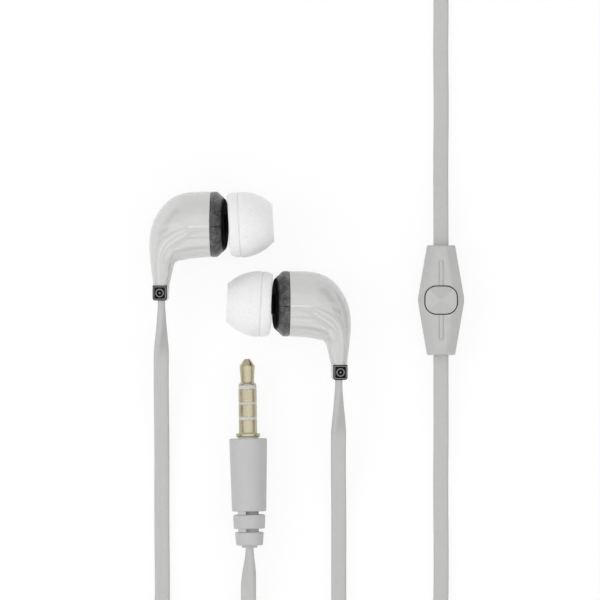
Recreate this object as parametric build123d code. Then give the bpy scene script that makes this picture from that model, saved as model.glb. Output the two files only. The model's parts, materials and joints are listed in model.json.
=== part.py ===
from build123d import *

import math
import os

# Wired in-ear earphones with an inline remote and a four-pole 3.5 mm plug, laid out on a table.
# Millimetres. The table is z = 0, +Z is up, and the origin lies on the table under the middle of
# the two earbuds. The tips point along X and the stems run towards -Y.

# ---- driving dimensions: earbud, in its own frame ---------------------------------------------
# The earbud's frame has its origin in the middle of the housing's rim, +X out through the ear tip
# and -Y down the stem.
RIM_RADIUS = 6.27  # housing and bezel at the rim
HOUSING_WALL = 0.7
ELBOW_DEPTH = 9.4  # rim to the stem's axis
CUP_STRAIGHT = 2.6  # depth of the cup before it rounds over
CUP_DEPTH = 10.3
SPOUT_RADIUS = 2.35
SPOUT_SHOULDER = 5.0  # earbud's axis down to the spout's widest place
SPOUT_DOME = 7.0  # height of the spout's domed top above its shoulder
ELBOW_BLEND = 3.0
STEM_DROP = 14.6  # earbud's axis to the stem's end
STEM_RADIUS = 1.45
STEM_OVERLAP = 0.4  # round stem inside its squared end
LEAD_BORE_RADIUS = 0.7  # down the stem
STEM_END_WIDTH = 3.1  # the squared end of the stem
STEM_END_THICK = 3.0
STEM_END_LENGTH = 3.0
STEM_END_ROUND = 0.45

BEZEL_DEPTH = 3.04
BEZEL_STRAIGHT = 1.4  # depth of the bezel before it rounds over
BEZEL_FRONT_RADIUS = 4.98
SPIGOT_DEPTH = 1.6  # bezel's reach into the housing
GLUE_GAP = 0.08  # between pieces that are bonded into each other

DRIVER_RADIUS = 4.8
DRIVER_DEPTH = 3.4
FRAME_WALL = 0.5  # driver frame round the diaphragm
YOKE_RADIUS = 3.2
YOKE_WALL = 0.5
YOKE_DEPTH = 2.7
MAGNET_RADIUS = 2.1
MAGNET_DEPTH = 1.4
POLE_PLATE_DEPTH = 0.6
COIL_WALL = 0.16
COIL_DEPTH = 1.4
DIAPHRAGM_THICK = 0.12
TERMINAL_BOARD = (0.6, 2.2, 4.0)  # thickness, height, width
LEAD_RADIUS = 0.32
LEAD_KNOT_RADIUS = 0.62

BAFFLE_DEPTH = 1.3
BAFFLE_PROUD = 0.16  # baffle in front of the bezel
NOZZLE_LENGTH = 5.9  # baffle's face to the nozzle's mouth
NOZZLE_RADIUS = 2.0
NOZZLE_WALL = 0.6
BARB_HEIGHT = 0.35
BARB_LENGTH = 1.1
BARB_SETBACK = 0.4  # mouth to the barb's front
GRILLE_THICK = 0.25
GRILLE_HOLE_RADIUS = 0.12
GRILLE_RING_PITCH = 0.42

TIP_LENGTH = 8.8
TIP_RADIUS = 6.33
TIP_BACK_GAP = 0.46  # bezel's face to the back rim of the ear tip
TIP_WALL = 0.66
TIP_FRONT_RADIUS = 3.3
TIP_SOUND_RADIUS = 2.0
TIP_TUBE_WALL = 0.75
TIP_TUBE_SETBACK = 1.0  # back rim to the inner tube's end
TIP_LIP_DEPTH = 1.1
TIP_BORE_GAP = 0.1  # over the barb, so that the tip slides off

BADGE_SIZE = 2.86
BADGE_THICK = 0.5
BADGE_FRAME = 0.28
BADGE_RELIEF = 0.12
BADGE_RING_RADIUS = 0.78
BADGE_LINE = 0.2
GROMMET_LENGTH = 1.6
GROMMET_WIDTH = 1.5
GROMMET_HEIGHT = 1.4

EARBUD_ROLL = 6.0  # degrees: the tip points a little up from the table
LEFT_RIM = (-7.65, 11.77)  # the rim's middle on the table, left earbud
RIGHT_RIM = (7.65, -3.45)

# ---- driving dimensions: remote ---------------------------------------------------------------
REMOTE_MIDDLE = (36.65, -2.75)
REMOTE_LENGTH = 21.1
REMOTE_END_WIDTH = 5.4
REMOTE_WIDTH = 9.0
REMOTE_THICK = 5.6
REMOTE_SPLIT = 2.6  # height of the seam between the shells
REMOTE_WALL = 0.8
REMOTE_WAIST_ROUND = 5.0
REMOTE_REAR_INSET = 0.7
PANEL_END_WIDTH = 1.9  # the front panel between the ridge lines
PANEL_WIDTH = 7.3
PANEL_END_SETBACK = 0.35
BUTTON_WIDTH = 6.05
BUTTON_HEIGHT = 5.25
BUTTON_ROUND = 2.1
BUTTON_GAP = 0.2
BUTTON_PROUD = 0.1
BUTTON_CROWN = 0.14
BUTTON_CROWN_WIDTH = 0.6  # the flat left in the middle of the crown
BUTTON_TAB_WIDTH = 3.0
BUTTON_TAB_REACH = 0.5  # under the shell, past the button's gap
BUTTON_TAB_THICK = 0.4
BUTTON_TAB_GAP = 0.1  # tab to the shell
BUTTON_POST_RADIUS = 0.8
BUTTON_TRAVEL = 0.3
BUTTON_STOP_GAP = 0.1  # post to the switch when the button is fully in
RIB_WIDTH = 0.62
RIB_MOAT = 0.24
RIB_DEPTH = 0.22
RIB_REACH = 7.45  # the ribs' far ends, from the remote's middle
BOARD_THICK = 0.8
BOARD_LENGTH = 13.6
BOARD_WIDTH = 3.6
BOARD_SEAT = 1.0  # height of the board's underside
SWITCH_WIDTH = 3.0
SWITCH_BODY = 0.7
SWITCH_PLUNGER_RADIUS = 0.7
SWITCH_PLUNGER_HEIGHT = 0.5
MICROPHONE_RADIUS = 1.4
MICROPHONE_DEPTH = 1.1
SOUND_HOLE_RADIUS = 0.35

# ---- driving dimensions: plug, measured back from the tip --------------------------------------
PLUG_X = -0.585  # where the tip's nose lies on the table
PLUG_TIP_Y = -14.3
PLUG_LEAN = 0.77  # degrees that the plug lies off the Y axis, its cord end towards +X
BARREL_RADIUS = 1.75
BARREL_LENGTH = 14.0  # nose to flange
TIP_NOSE_RADIUS = 0.45
TIP_BALL_RADIUS = 1.47
TIP_BALL_AT = 1.12
TIP_NECK_RADIUS = 1.28
TIP_NECK_AT = 4.1
CONTACT_ENDS = (4.8, 8.05, 10.85)  # rear edges of the tip and the two rings
INSULATOR_LENGTHS = (0.75, 0.45, 0.62)
FLANGE_RADIUS = 2.3
FLANGE_LENGTH = 0.75
COLLAR_RADIUS = 1.95
COLLAR_LENGTH = 0.26
CORE_RADIUS = 1.3
PIN_RADIUS = 0.5
SOLDER_TAIL = 3.0
SOLDER_TUBE_RADIUS = 1.6

BOOT_FRONT_RADIUS = 3.63
BOOT_REAR_RADIUS = 3.3
BOOT_LENGTH = 13.98
BOOT_SEGMENTS = ((2.73, 3.08, 3.0), (2.58, 2.78, 2.56))  # length, front radius, rear radius
BOOT_SLOT = 0.62
BOOT_CORE_RADIUS = 1.85
BOOT_RIB_EDGES = (-2.15, -0.62)  # across the plug, seen from above
BOOT_ROUND = 0.3
BOOT_END_RADIUS = 1.48
BOOT_END_LENGTH = 0.42

# ---- driving dimensions: cord -------------------------------------------------------------------
CORD_WIDTH = 2.9
CORD_THICK = 1.4
LIMP_BEND = 3 * CORD_WIDTH  # smallest bend radius

SPLITTER_MIDDLE = (50.5, -74.3)
SPLITTER_LENGTH = 13.0
SPLITTER_WIDTH = 7.6
SPLITTER_THICK = 3.6
SPLITTER_ROUND = 1.4
SPLITTER_WALL = 0.8

HANK_MIDDLE = (10.9, -90.8)
HANK_RUN = 36.0  # straight part of the folded bundle
HANK_TURNS_ACROSS = 3
HANK_LAYERS = 3
TURN_PITCH = 1.45
LAYER_PITCH = 2.95
TIE_WIDTH = 6.0
TIE_THICK = 0.4

# ---- routes of the free cord: points laid by hand, z is the height of the cord's middle ----------
LEFT_BUD_ROUTE = [
    (-17.0, -2.83, 5.575), (-17.0, -9.0, 5.575), (-17.1, -19.0, 3.4), (-16.95, -31.0, 1.0),
    (-17.0, -45.0, 0.75), (-16.85, -59.0, 0.8), (-17.0, -69.0, 2.0), (-17.4, -77.0, 5.4),
    (-18.4, -84.5, 7.6), (-18.65, -90.0, 7.8),
]
LEFT_TAIL_ROUTE = [
    (32.0, -101.9, 7.9), (39.0, -102.1, 8.0), (47.0, -101.9, 5.2), (55.0, -101.8, 2.0),
    (62.0, -101.4, 1.0), (66.7, -98.7, 0.75), (69.4, -94.1, 0.75), (69.4, -83.2, 0.8),
    (66.7, -78.6, 1.2), (62.0, -75.9, 1.8), (57.0, -75.9, 1.8),
]
RIGHT_BUD_ROUTE = [
    (17.0, -18.05, 5.575), (17.0, -24.5, 5.575), (16.9, -34.0, 3.2), (17.05, -44.5, 1.0),
    (17.0, -55.5, 0.75), (17.05, -65.56, 0.75), (22.74, -71.25, 0.77), (30.86, -71.3, 0.75),
    (36.6, -65.56, 0.75), (36.75, -53.0, 0.75), (36.6, -39.0, 0.8), (36.7, -28.0, 1.1),
    (36.65, -20.0, 2.6), (36.65, -12.5, 2.6),
]
REMOTE_ROUTE = [
    (36.65, 7.0, 2.6), (36.65, 14.0, 2.6), (36.6, 22.5, 1.0), (36.75, 34.0, 0.75),
    (36.6, 47.0, 0.77), (36.7, 56.2, 0.75), (39.1, 60.35, 0.77), (43.3, 62.75, 0.75),
    (52.5, 62.65, 0.77), (62.1, 62.75, 0.75), (66.7, 60.1, 0.77), (69.4, 55.4, 0.75),
    (69.35, 44.0, 0.77), (69.45, 17.0, 0.75), (69.35, -14.0, 0.77), (69.45, -41.0, 0.75),
    (69.35, -55.5, 0.77), (69.4, -65.4, 0.8), (66.7, -70.0, 1.2), (62.0, -72.7, 1.8),
    (57.0, -72.7, 1.8),
]
MAIN_ROUTE = [
    (44.0, -74.3, 1.8), (39.0, -74.3, 1.8), (32.0, -76.3, 1.2), (25.0, -78.8, 1.6),
    (18.0, -79.3, 1.9),
]
PLUG_ROUTE = [
    (-0.102, -50.257, 3.63), (-0.062, -53.2, 3.63), (-0.36, -57.6, 3.0), (-0.29, -62.4, 2.2),
    (-0.3, -67.6, 2.5), (-0.3, -72.8, 3.7), (2.1, -76.95, 4.5), (6.3, -79.35, 4.8),
    (11.1, -79.4, 4.8),
]


def turned(*outline):
    """Turn an outline of (along, radius) points about the X axis into a solid."""
    return revolve(make_face(Polyline(*outline, close=True)), Axis.X)


def tube(start, end, outer, inner):
    """A tube about the X axis from start to end."""
    return turned((start, inner), (end, inner), (end, outer), (start, outer))


def disc(start, end, radius):
    """A disc about the X axis from start to end."""
    return turned((start, 0), (end, 0), (end, radius), (start, radius))


def block(x, y, z):
    """A box from its (low, high) span on each axis."""
    middle = [(low + high) / 2 for low, high in (x, y, z)]
    return Pos(*middle) * Box(*[high - low for low, high in (x, y, z)])


def rounded_plate(width, height, corner, low, high):
    """A plate with rounded corners, in the XY plane, from low to high."""
    return Pos(0, 0, low) * extrude(RectangleRounded(width, height, corner), high - low)


# ---- earbud, built in its own frame ---------------------------------------------------------------
def cup(inset=0.0):
    """The round back of the housing about the tip's axis, or with an inset its hollow."""
    back = EllipticalCenterArc(
        (-CUP_STRAIGHT, 0), CUP_DEPTH - inset - CUP_STRAIGHT, RIM_RADIUS - inset,
        start_angle=90, arc_size=90,
    )
    sides = Polyline(back @ 1, (0, 0), (0, RIM_RADIUS - inset), back @ 0)
    return revolve(make_face(back + sides), Axis.X)


def spout(inset=0.0):
    """The domed cone that leads from the cup down into the stem, or its hollow."""
    bottom = -STEM_DROP + STEM_END_LENGTH - STEM_OVERLAP
    dome = EllipticalCenterArc(
        (-ELBOW_DEPTH, -SPOUT_SHOULDER), SPOUT_RADIUS - inset, SPOUT_DOME - inset,
        start_angle=90, arc_size=90,
    )
    sides = Polyline(
        dome @ 1, (-ELBOW_DEPTH - STEM_RADIUS + inset, bottom), (-ELBOW_DEPTH, bottom), dome @ 0
    )
    return revolve(make_face(dome + sides), Axis((-ELBOW_DEPTH, 0, 0), (0, 1, 0)))


def elbow():
    """The cup and the spout, blended into one another inside the bend."""
    whole = cup() + spout()
    creases = whole.edges().filter_by(GeomType.BSPLINE)
    return fillet(creases, ELBOW_BLEND)


def stem_end():
    """The squared lower end of the stem."""
    plate = rounded_plate(STEM_END_WIDTH, STEM_END_THICK, STEM_END_ROUND, 0, STEM_END_LENGTH)
    return Pos(-ELBOW_DEPTH, -STEM_DROP, 0) * Rot(X=-90) * plate


def badge_plate(spare=0.0):
    """The badge's plate, or with spare the pocket that it is bonded into."""
    left = -ELBOW_DEPTH - STEM_END_WIDTH / 2
    return block(
        (left, left + BADGE_SIZE + spare),
        (-STEM_DROP, -STEM_DROP + BADGE_SIZE + spare),
        (STEM_END_THICK / 2 - BADGE_THICK - spare, STEM_END_THICK / 2),
    )


def housing():
    """The glossy elbow shell, hollow down to the cord's grommet."""
    shell = elbow() + stem_end()
    shell -= cup(HOUSING_WALL) + spout(HOUSING_WALL)
    shell -= Pos(-ELBOW_DEPTH, -STEM_DROP, 0) * Rot(X=-90) * extrude(
        Circle(LEAD_BORE_RADIUS), STEM_DROP / 2
    )
    shell -= grommet(GLUE_GAP)
    return shell - badge_plate(GLUE_GAP)


def grommet(spare=0.0):
    """The soft block in the stem's mouth that the cord is moulded to."""
    return block(
        (-ELBOW_DEPTH - GROMMET_WIDTH / 2 - spare, -ELBOW_DEPTH + GROMMET_WIDTH / 2 + spare),
        (-STEM_DROP, -STEM_DROP + GROMMET_LENGTH + spare),
        (-GROMMET_HEIGHT / 2 - spare, GROMMET_HEIGHT / 2 + spare),
    )


def badge():
    """The square insert: a framed plate with a plain raised ring and dot."""
    plate = badge_plate()
    upright = plate.edges().filter_by(Axis.Z).group_by(Axis.Y)[0]
    plate = fillet(upright, STEM_END_ROUND)
    face = plate.faces().sort_by(Axis.Z)[-1]
    middle = face.center()
    window = Pos(middle.X, middle.Y, middle.Z - BADGE_RELIEF) * extrude(
        RectangleRounded(BADGE_SIZE - 2 * BADGE_FRAME, BADGE_SIZE - 2 * BADGE_FRAME, BADGE_FRAME),
        BADGE_RELIEF,
    )
    ring = Circle(BADGE_RING_RADIUS) - Circle(BADGE_RING_RADIUS - BADGE_LINE)
    motif = extrude(ring, BADGE_RELIEF) + extrude(Circle(BADGE_LINE), BADGE_RELIEF)
    return plate - window + Pos(middle.X, middle.Y, middle.Z - BADGE_RELIEF) * motif


def bezel():
    """The dark band: a spigot in the housing, a straight band and a rounded front."""
    bore = DRIVER_RADIUS + GLUE_GAP
    spigot = RIM_RADIUS - HOUSING_WALL - 2 * GLUE_GAP
    outline = Polyline(
        (BEZEL_DEPTH, BEZEL_FRONT_RADIUS), (BEZEL_DEPTH, bore), (-SPIGOT_DEPTH, bore),
        (-SPIGOT_DEPTH, spigot), (0, spigot), (0, RIM_RADIUS), (BEZEL_STRAIGHT, RIM_RADIUS),
    )
    front = EllipticalCenterArc(
        (BEZEL_STRAIGHT, BEZEL_FRONT_RADIUS), BEZEL_DEPTH - BEZEL_STRAIGHT,
        RIM_RADIUS - BEZEL_FRONT_RADIUS, start_angle=0, arc_size=90,
    )
    return revolve(make_face(outline + front), Axis.X)


BAFFLE_FACE = BEZEL_DEPTH + BAFFLE_PROUD
BAFFLE_BACK = BAFFLE_FACE - BAFFLE_DEPTH
DRIVER_BACK = BAFFLE_BACK - DRIVER_DEPTH
NOZZLE_MOUTH = BAFFLE_FACE + NOZZLE_LENGTH
BARB_RADIUS = NOZZLE_RADIUS + BARB_HEIGHT
YOKE_FRONT = DRIVER_BACK + YOKE_DEPTH


def baffle():
    """The black front disc with the sound nozzle and its barb."""
    barb_front = NOZZLE_MOUTH - BARB_SETBACK
    barb_back = barb_front - BARB_LENGTH
    seat = NOZZLE_MOUTH - GRILLE_THICK
    bore = NOZZLE_RADIUS - NOZZLE_WALL
    lip = bore + NOZZLE_WALL / 2
    chamber = BAFFLE_BACK + BAFFLE_DEPTH / 2
    return turned(
        (BAFFLE_BACK, DRIVER_RADIUS), (BAFFLE_FACE, DRIVER_RADIUS), (BAFFLE_FACE, NOZZLE_RADIUS),
        (barb_back, NOZZLE_RADIUS), (barb_back, BARB_RADIUS), (barb_front, NOZZLE_RADIUS),
        (NOZZLE_MOUTH, NOZZLE_RADIUS), (NOZZLE_MOUTH, lip), (seat, lip), (seat, bore),
        (chamber, bore), (chamber, DRIVER_RADIUS - FRAME_WALL),
        (BAFFLE_BACK, DRIVER_RADIUS - FRAME_WALL),
    )


def grille():
    """The perforated screen in the nozzle's mouth."""
    radius = NOZZLE_RADIUS - NOZZLE_WALL / 2
    screen = disc(NOZZLE_MOUTH - GRILLE_THICK, NOZZLE_MOUTH, radius)
    rings = int((radius - 2 * GRILLE_HOLE_RADIUS) / GRILLE_RING_PITCH)
    holes = [Circle(GRILLE_HOLE_RADIUS)]
    for ring in range(1, rings + 1):
        places = PolarLocations(ring * GRILLE_RING_PITCH, 6 * ring).locations
        holes += [place * Circle(GRILLE_HOLE_RADIUS) for place in places]
    drills = extrude(Sketch() + holes, 3 * GRILLE_THICK)
    return screen - Pos(NOZZLE_MOUTH - 2 * GRILLE_THICK, 0, 0) * Rot(Y=90) * drills


def ear_tip():
    """The silicone dome: an outer skirt turned back over an inner tube."""
    back = BEZEL_DEPTH + TIP_BACK_GAP
    front = back + TIP_LENGTH
    tube_back = back + TIP_TUBE_SETBACK
    bore = BARB_RADIUS + TIP_BORE_GAP
    tube_radius = bore + TIP_TUBE_WALL
    shoulder = front - TIP_LIP_DEPTH
    fold = front - 2.2 * TIP_WALL
    skirt = Spline(
        (back, TIP_RADIUS - 0.3), (back + 0.25 * TIP_LENGTH, TIP_RADIUS),
        (back + 0.5 * TIP_LENGTH, TIP_RADIUS - 0.37), (back + 0.74 * TIP_LENGTH, TIP_RADIUS - 1.2),
        (back + 0.92 * TIP_LENGTH, TIP_RADIUS - 2.2), (front, TIP_FRONT_RADIUS),
    )
    inside = Spline(
        (back, TIP_RADIUS - 0.3 - TIP_WALL), (back + 0.25 * TIP_LENGTH, TIP_RADIUS - TIP_WALL),
        (back + 0.5 * TIP_LENGTH, TIP_RADIUS - 0.37 - TIP_WALL),
        (back + 0.7 * TIP_LENGTH, TIP_RADIUS - 1.2 - TIP_WALL), (fold, tube_radius + 0.3),
    )
    rim = Line(skirt @ 0, inside @ 0)
    mouth = Polyline(
        skirt @ 1, (front, TIP_SOUND_RADIUS + 0.3), (front - 0.3, TIP_SOUND_RADIUS),
        (shoulder, TIP_SOUND_RADIUS), (shoulder - 0.4, bore), (tube_back, bore),
        (tube_back, tube_radius), (fold, tube_radius), inside @ 1,
    )
    return revolve(make_face(skirt + mouth + inside + rim), Axis.X)


def driver():
    """The moving-coil driver's pieces, by name."""
    back, front = DRIVER_BACK, BAFFLE_BACK
    yoke_inside = YOKE_RADIUS - YOKE_WALL
    magnet_back = back + YOKE_WALL
    plate_back = magnet_back + MAGNET_DEPTH
    plate_front = plate_back + POLE_PLATE_DEPTH
    coil_middle = (MAGNET_RADIUS + yoke_inside) / 2
    coil_front = plate_front + COIL_DEPTH / 2
    frame_bore = DRIVER_RADIUS - FRAME_WALL
    film_radius = DRIVER_RADIUS - GLUE_GAP
    film_front = front
    film_back = front - DIAPHRAGM_THICK
    return {
        "driver_frame": turned(
            (YOKE_FRONT - FRAME_WALL, YOKE_RADIUS), (YOKE_FRONT, YOKE_RADIUS),
            (YOKE_FRONT, frame_bore), (film_back, frame_bore), (film_back, DRIVER_RADIUS),
            (YOKE_FRONT - FRAME_WALL, DRIVER_RADIUS),
        ),
        "driver_yoke": turned(
            (back, 0), (back, YOKE_RADIUS), (YOKE_FRONT, YOKE_RADIUS), (YOKE_FRONT, yoke_inside),
            (magnet_back, yoke_inside), (magnet_back, 0),
        ),
        "driver_magnet": disc(magnet_back, plate_back, MAGNET_RADIUS),
        "driver_pole_plate": disc(plate_back, plate_front, MAGNET_RADIUS),
        "driver_voice_coil": tube(
            coil_front - COIL_DEPTH, film_back, coil_middle + COIL_WALL / 2,
            coil_middle - COIL_WALL / 2,
        ),
        "driver_diaphragm": tube(film_back, film_front, film_radius, frame_bore) + (
            disc(film_back, film_front, frame_bore)
        ),
    }


def terminal_board():
    """The solder board on the back of the yoke."""
    thick, high, wide = TERMINAL_BOARD
    return block((DRIVER_BACK - thick, DRIVER_BACK), (-high / 2, high / 2), (-wide / 2, wide / 2))


def inner_lead():
    """The lead from the grommet up the stem to the terminal board, with its holding knot."""
    mouth = -STEM_DROP + GROMMET_LENGTH
    board = DRIVER_BACK - TERMINAL_BOARD[0]
    path = FilletPolyline(
        (-ELBOW_DEPTH, mouth, 0), (-ELBOW_DEPTH, -0.6 * STEM_DROP, 0),
        (-0.93 * ELBOW_DEPTH, -0.15 * STEM_DROP, 0), (board - 1.5, 0, 0), (board, 0, 0),
        radius=[1.2, 1.2, 0.5],
    )
    lead = sweep(Plane(path @ 0, z_dir=path % 0) * Circle(LEAD_RADIUS), path)
    return lead + Pos(-ELBOW_DEPTH, mouth + LEAD_KNOT_RADIUS, 0) * Sphere(LEAD_KNOT_RADIUS)


def earbud():
    """Every piece of one earbud in the earbud's own frame, by name."""
    return {
        "housing": housing(),
        "bezel": bezel(),
        "baffle_nozzle": baffle(),
        "nozzle_grille": grille(),
        "ear_tip": ear_tip(),
        **driver(),
        "terminal_board": terminal_board(),
        "inner_lead": inner_lead(),
        "badge": badge(),
        "cable_grommet": grommet(),
    }


def placed_earbuds():
    """Both earbuds on the table: the left one, and the right one as its mirror image."""
    pieces = {name: Rot(Y=-EARBUD_ROLL) * shape for name, shape in earbud().items()}
    lift = -min(shape.bounding_box().min.Z for shape in pieces.values())
    print("height of the earbud's axis at the rim:", round(lift, 3))
    left, right = Pos(*LEFT_RIM, lift), Pos(*RIGHT_RIM, lift)
    placed = {f"left_{name}": left * shape for name, shape in pieces.items()}
    for name, shape in pieces.items():
        placed[f"right_{name}"] = right * mirror(shape, Plane.YZ)
    return placed


# ---- remote, built about its own middle with the table at z = 0 -------------------------------------
def waisted(length, end_width, width):
    """A plate's outline that widens from its ends to its middle."""
    corners = [
        (-end_width / 2, -length / 2), (end_width / 2, -length / 2), (width / 2, 0),
        (end_width / 2, length / 2), (-end_width / 2, length / 2), (-width / 2, 0),
    ]
    return make_face(Polyline(*corners, close=True))


def remote_hull(base, top, end_width, width, base_inset, top_end_width, top_width, setback):
    """A faceted half shell between its outline at the seam and its smaller outer face."""
    seam = Pos(0, 0, base) * waisted(REMOTE_LENGTH - base_inset, end_width, width)
    outer = Pos(0, 0, top) * waisted(REMOTE_LENGTH - setback, top_end_width, top_width)
    hull = loft([seam, outer], ruled=True)
    across = [e for e in hull.edges() if abs(e.center().Y) < 0.01 and abs(e.center().X) > 1]
    return fillet(across, REMOTE_WAIST_ROUND)


def remote_front_hull(inset=0.0):
    """The front half's outside, or with an inset its cavity."""
    return remote_hull(
        REMOTE_SPLIT, REMOTE_THICK - inset, REMOTE_END_WIDTH - 2 * inset,
        REMOTE_WIDTH - 2 * inset, 2 * inset, PANEL_END_WIDTH, PANEL_WIDTH - inset,
        PANEL_END_SETBACK + 2 * inset,
    )


def remote_rear_hull(inset=0.0):
    """The rear half's outside, or with an inset its cavity."""
    inward = 2 * (REMOTE_REAR_INSET + inset)
    return remote_hull(
        REMOTE_SPLIT, inset, REMOTE_END_WIDTH - 2 * inset, REMOTE_WIDTH - 2 * inset,
        2 * inset, REMOTE_END_WIDTH - inward, REMOTE_WIDTH - inward, inward,
    )


def button_outline(spare=0.0):
    """The button's rounded outline, grown by spare all round."""
    return RectangleRounded(
        BUTTON_WIDTH + 2 * spare, BUTTON_HEIGHT + 2 * spare, BUTTON_ROUND + spare
    )


def rib_plate(width, low, high):
    """A rounded bar along the remote, out to the ribs' far ends."""
    return rounded_plate(width, 2 * RIB_REACH + width - RIB_WIDTH, width / 2 - 0.01, low, high)


BOARD_TOP = BOARD_SEAT + BOARD_THICK
SWITCH_TOP = BOARD_TOP + SWITCH_BODY + SWITCH_PLUNGER_HEIGHT


def remote_front():
    """The faceted front shell with its button hole and the two moated ribs."""
    shell = remote_front_hull() - remote_front_hull(REMOTE_WALL)
    moat = rib_plate(RIB_WIDTH + 2 * RIB_MOAT, REMOTE_THICK - RIB_DEPTH, REMOTE_THICK)
    shell -= moat - rib_plate(RIB_WIDTH, REMOTE_THICK - RIB_DEPTH, REMOTE_THICK)
    shell -= Pos(0, 0, REMOTE_SPLIT) * extrude(button_outline(BUTTON_GAP), REMOTE_THICK)
    return shell - cord_slot()


def remote_rear():
    """The rear shell with the board's two seats and the microphone's sound hole."""
    shell = remote_rear_hull() - remote_rear_hull(REMOTE_WALL)
    for side in (-1, 1):
        y = side * BOARD_LENGTH / 3
        shell += block(
            (-BOARD_WIDTH / 2, BOARD_WIDTH / 2), (y - 0.5, y + 0.5), (REMOTE_WALL, BOARD_SEAT)
        )
    hole = Pos(0, microphone_y(), 0) * extrude(Circle(SOUND_HOLE_RADIUS), BOARD_SEAT)
    return shell - hole - cord_slot()


def cord_slot():
    """Where the cord's ends pass through the remote's end walls."""
    cord = (REMOTE_SPLIT - CORD_THICK / 2, REMOTE_SPLIT + CORD_THICK / 2)
    through = block((-CORD_WIDTH / 2, CORD_WIDTH / 2), (-REMOTE_LENGTH, REMOTE_LENGTH), cord)
    inside = REMOTE_LENGTH / 2 - 2 * REMOTE_WALL
    return through - block((-CORD_WIDTH, CORD_WIDTH), (-inside, inside), cord)


def button():
    """The button: a shallow four-sided crown, two retaining tabs and a post for the switch."""
    top = REMOTE_THICK + BUTTON_PROUD
    under = REMOTE_THICK - REMOTE_WALL - BUTTON_TAB_GAP
    cap = Pos(0, 0, under) * extrude(button_outline(), top - under)
    flat = Rectangle(BUTTON_CROWN_WIDTH, BUTTON_CROWN_WIDTH * BUTTON_HEIGHT / BUTTON_WIDTH)
    crown = loft(
        [Pos(0, 0, top) * button_outline(), Pos(0, 0, top + BUTTON_CROWN) * flat], ruled=True
    )
    reach = BUTTON_HEIGHT / 2 + BUTTON_GAP + BUTTON_TAB_REACH
    half = BUTTON_TAB_WIDTH / 2
    tabs = block((-half, half), (-reach, reach), (under - BUTTON_TAB_THICK, under))
    post_end = SWITCH_TOP + BUTTON_TRAVEL + BUTTON_STOP_GAP
    post = Pos(0, 0, post_end) * extrude(Circle(BUTTON_POST_RADIUS), under - post_end)
    return cap + crown + tabs + post


def microphone_y():
    """The microphone sits at the remote's upper end, clear of the switch."""
    return BOARD_LENGTH / 2 - MICROPHONE_RADIUS - BOARD_THICK


def remote():
    """Every piece of the remote, by name."""
    board = block(
        (-BOARD_WIDTH / 2, BOARD_WIDTH / 2), (-BOARD_LENGTH / 2, BOARD_LENGTH / 2),
        (BOARD_SEAT, BOARD_TOP),
    )
    half = SWITCH_WIDTH / 2
    switch = block((-half, half), (-half, half), (BOARD_TOP, BOARD_TOP + SWITCH_BODY))
    plunger = Pos(0, 0, BOARD_TOP + SWITCH_BODY) * extrude(
        Circle(SWITCH_PLUNGER_RADIUS), SWITCH_PLUNGER_HEIGHT
    )
    microphone = Pos(0, microphone_y(), BOARD_TOP) * extrude(
        Circle(MICROPHONE_RADIUS), MICROPHONE_DEPTH
    )
    return {
        "remote_front_shell": remote_front(),
        "remote_rear_shell": remote_rear(),
        "remote_button": button(),
        "remote_board": board,
        "remote_switch": switch + plunger,
        "remote_microphone": microphone,
    }


# ---- plug, built along X with its nose at the origin ---------------------------------------------------
def contact(start, end):
    """One ring contact or insulator of the barrel."""
    return tube(start, end, BARREL_RADIUS, CORE_RADIUS)


def plug_contacts():
    """The plug's metal and insulating pieces, by name."""
    tip_end, first_end, second_end = CONTACT_ENDS
    starts = [end + gap for end, gap in zip(CONTACT_ENDS, INSULATOR_LENGTHS)]
    flange_end = BARREL_LENGTH + FLANGE_LENGTH
    collar_end = flange_end + COLLAR_LENGTH
    tail = collar_end + SOLDER_TAIL
    tip = turned(
        (0, 0), (0, TIP_NOSE_RADIUS), (TIP_BALL_AT, TIP_BALL_RADIUS), (TIP_NECK_AT, TIP_NECK_RADIUS),
        (tip_end - 0.3, BARREL_RADIUS - 0.05), (tip_end, BARREL_RADIUS), (tip_end, PIN_RADIUS),
        (tail, PIN_RADIUS), (tail, 0),
    )
    sleeve = turned(
        (starts[2], BARREL_RADIUS), (BARREL_LENGTH, BARREL_RADIUS), (BARREL_LENGTH, FLANGE_RADIUS),
        (flange_end, FLANGE_RADIUS), (flange_end, SOLDER_TUBE_RADIUS), (tail, SOLDER_TUBE_RADIUS),
        (tail, CORE_RADIUS), (starts[2], CORE_RADIUS),
    )
    return {
        "plug_tip": tip,
        "plug_insulator_1": contact(tip_end, starts[0]),
        "plug_ring_1": contact(starts[0], first_end),
        "plug_insulator_2": contact(first_end, starts[1]),
        "plug_ring_2": contact(starts[1], second_end),
        "plug_insulator_3": contact(second_end, starts[2]),
        "plug_sleeve": sleeve,
        "plug_core": tube(tip_end, tail, CORE_RADIUS, PIN_RADIUS),
        "plug_collar": tube(flange_end, collar_end, COLLAR_RADIUS, SOLDER_TUBE_RADIUS),
    }


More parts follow.
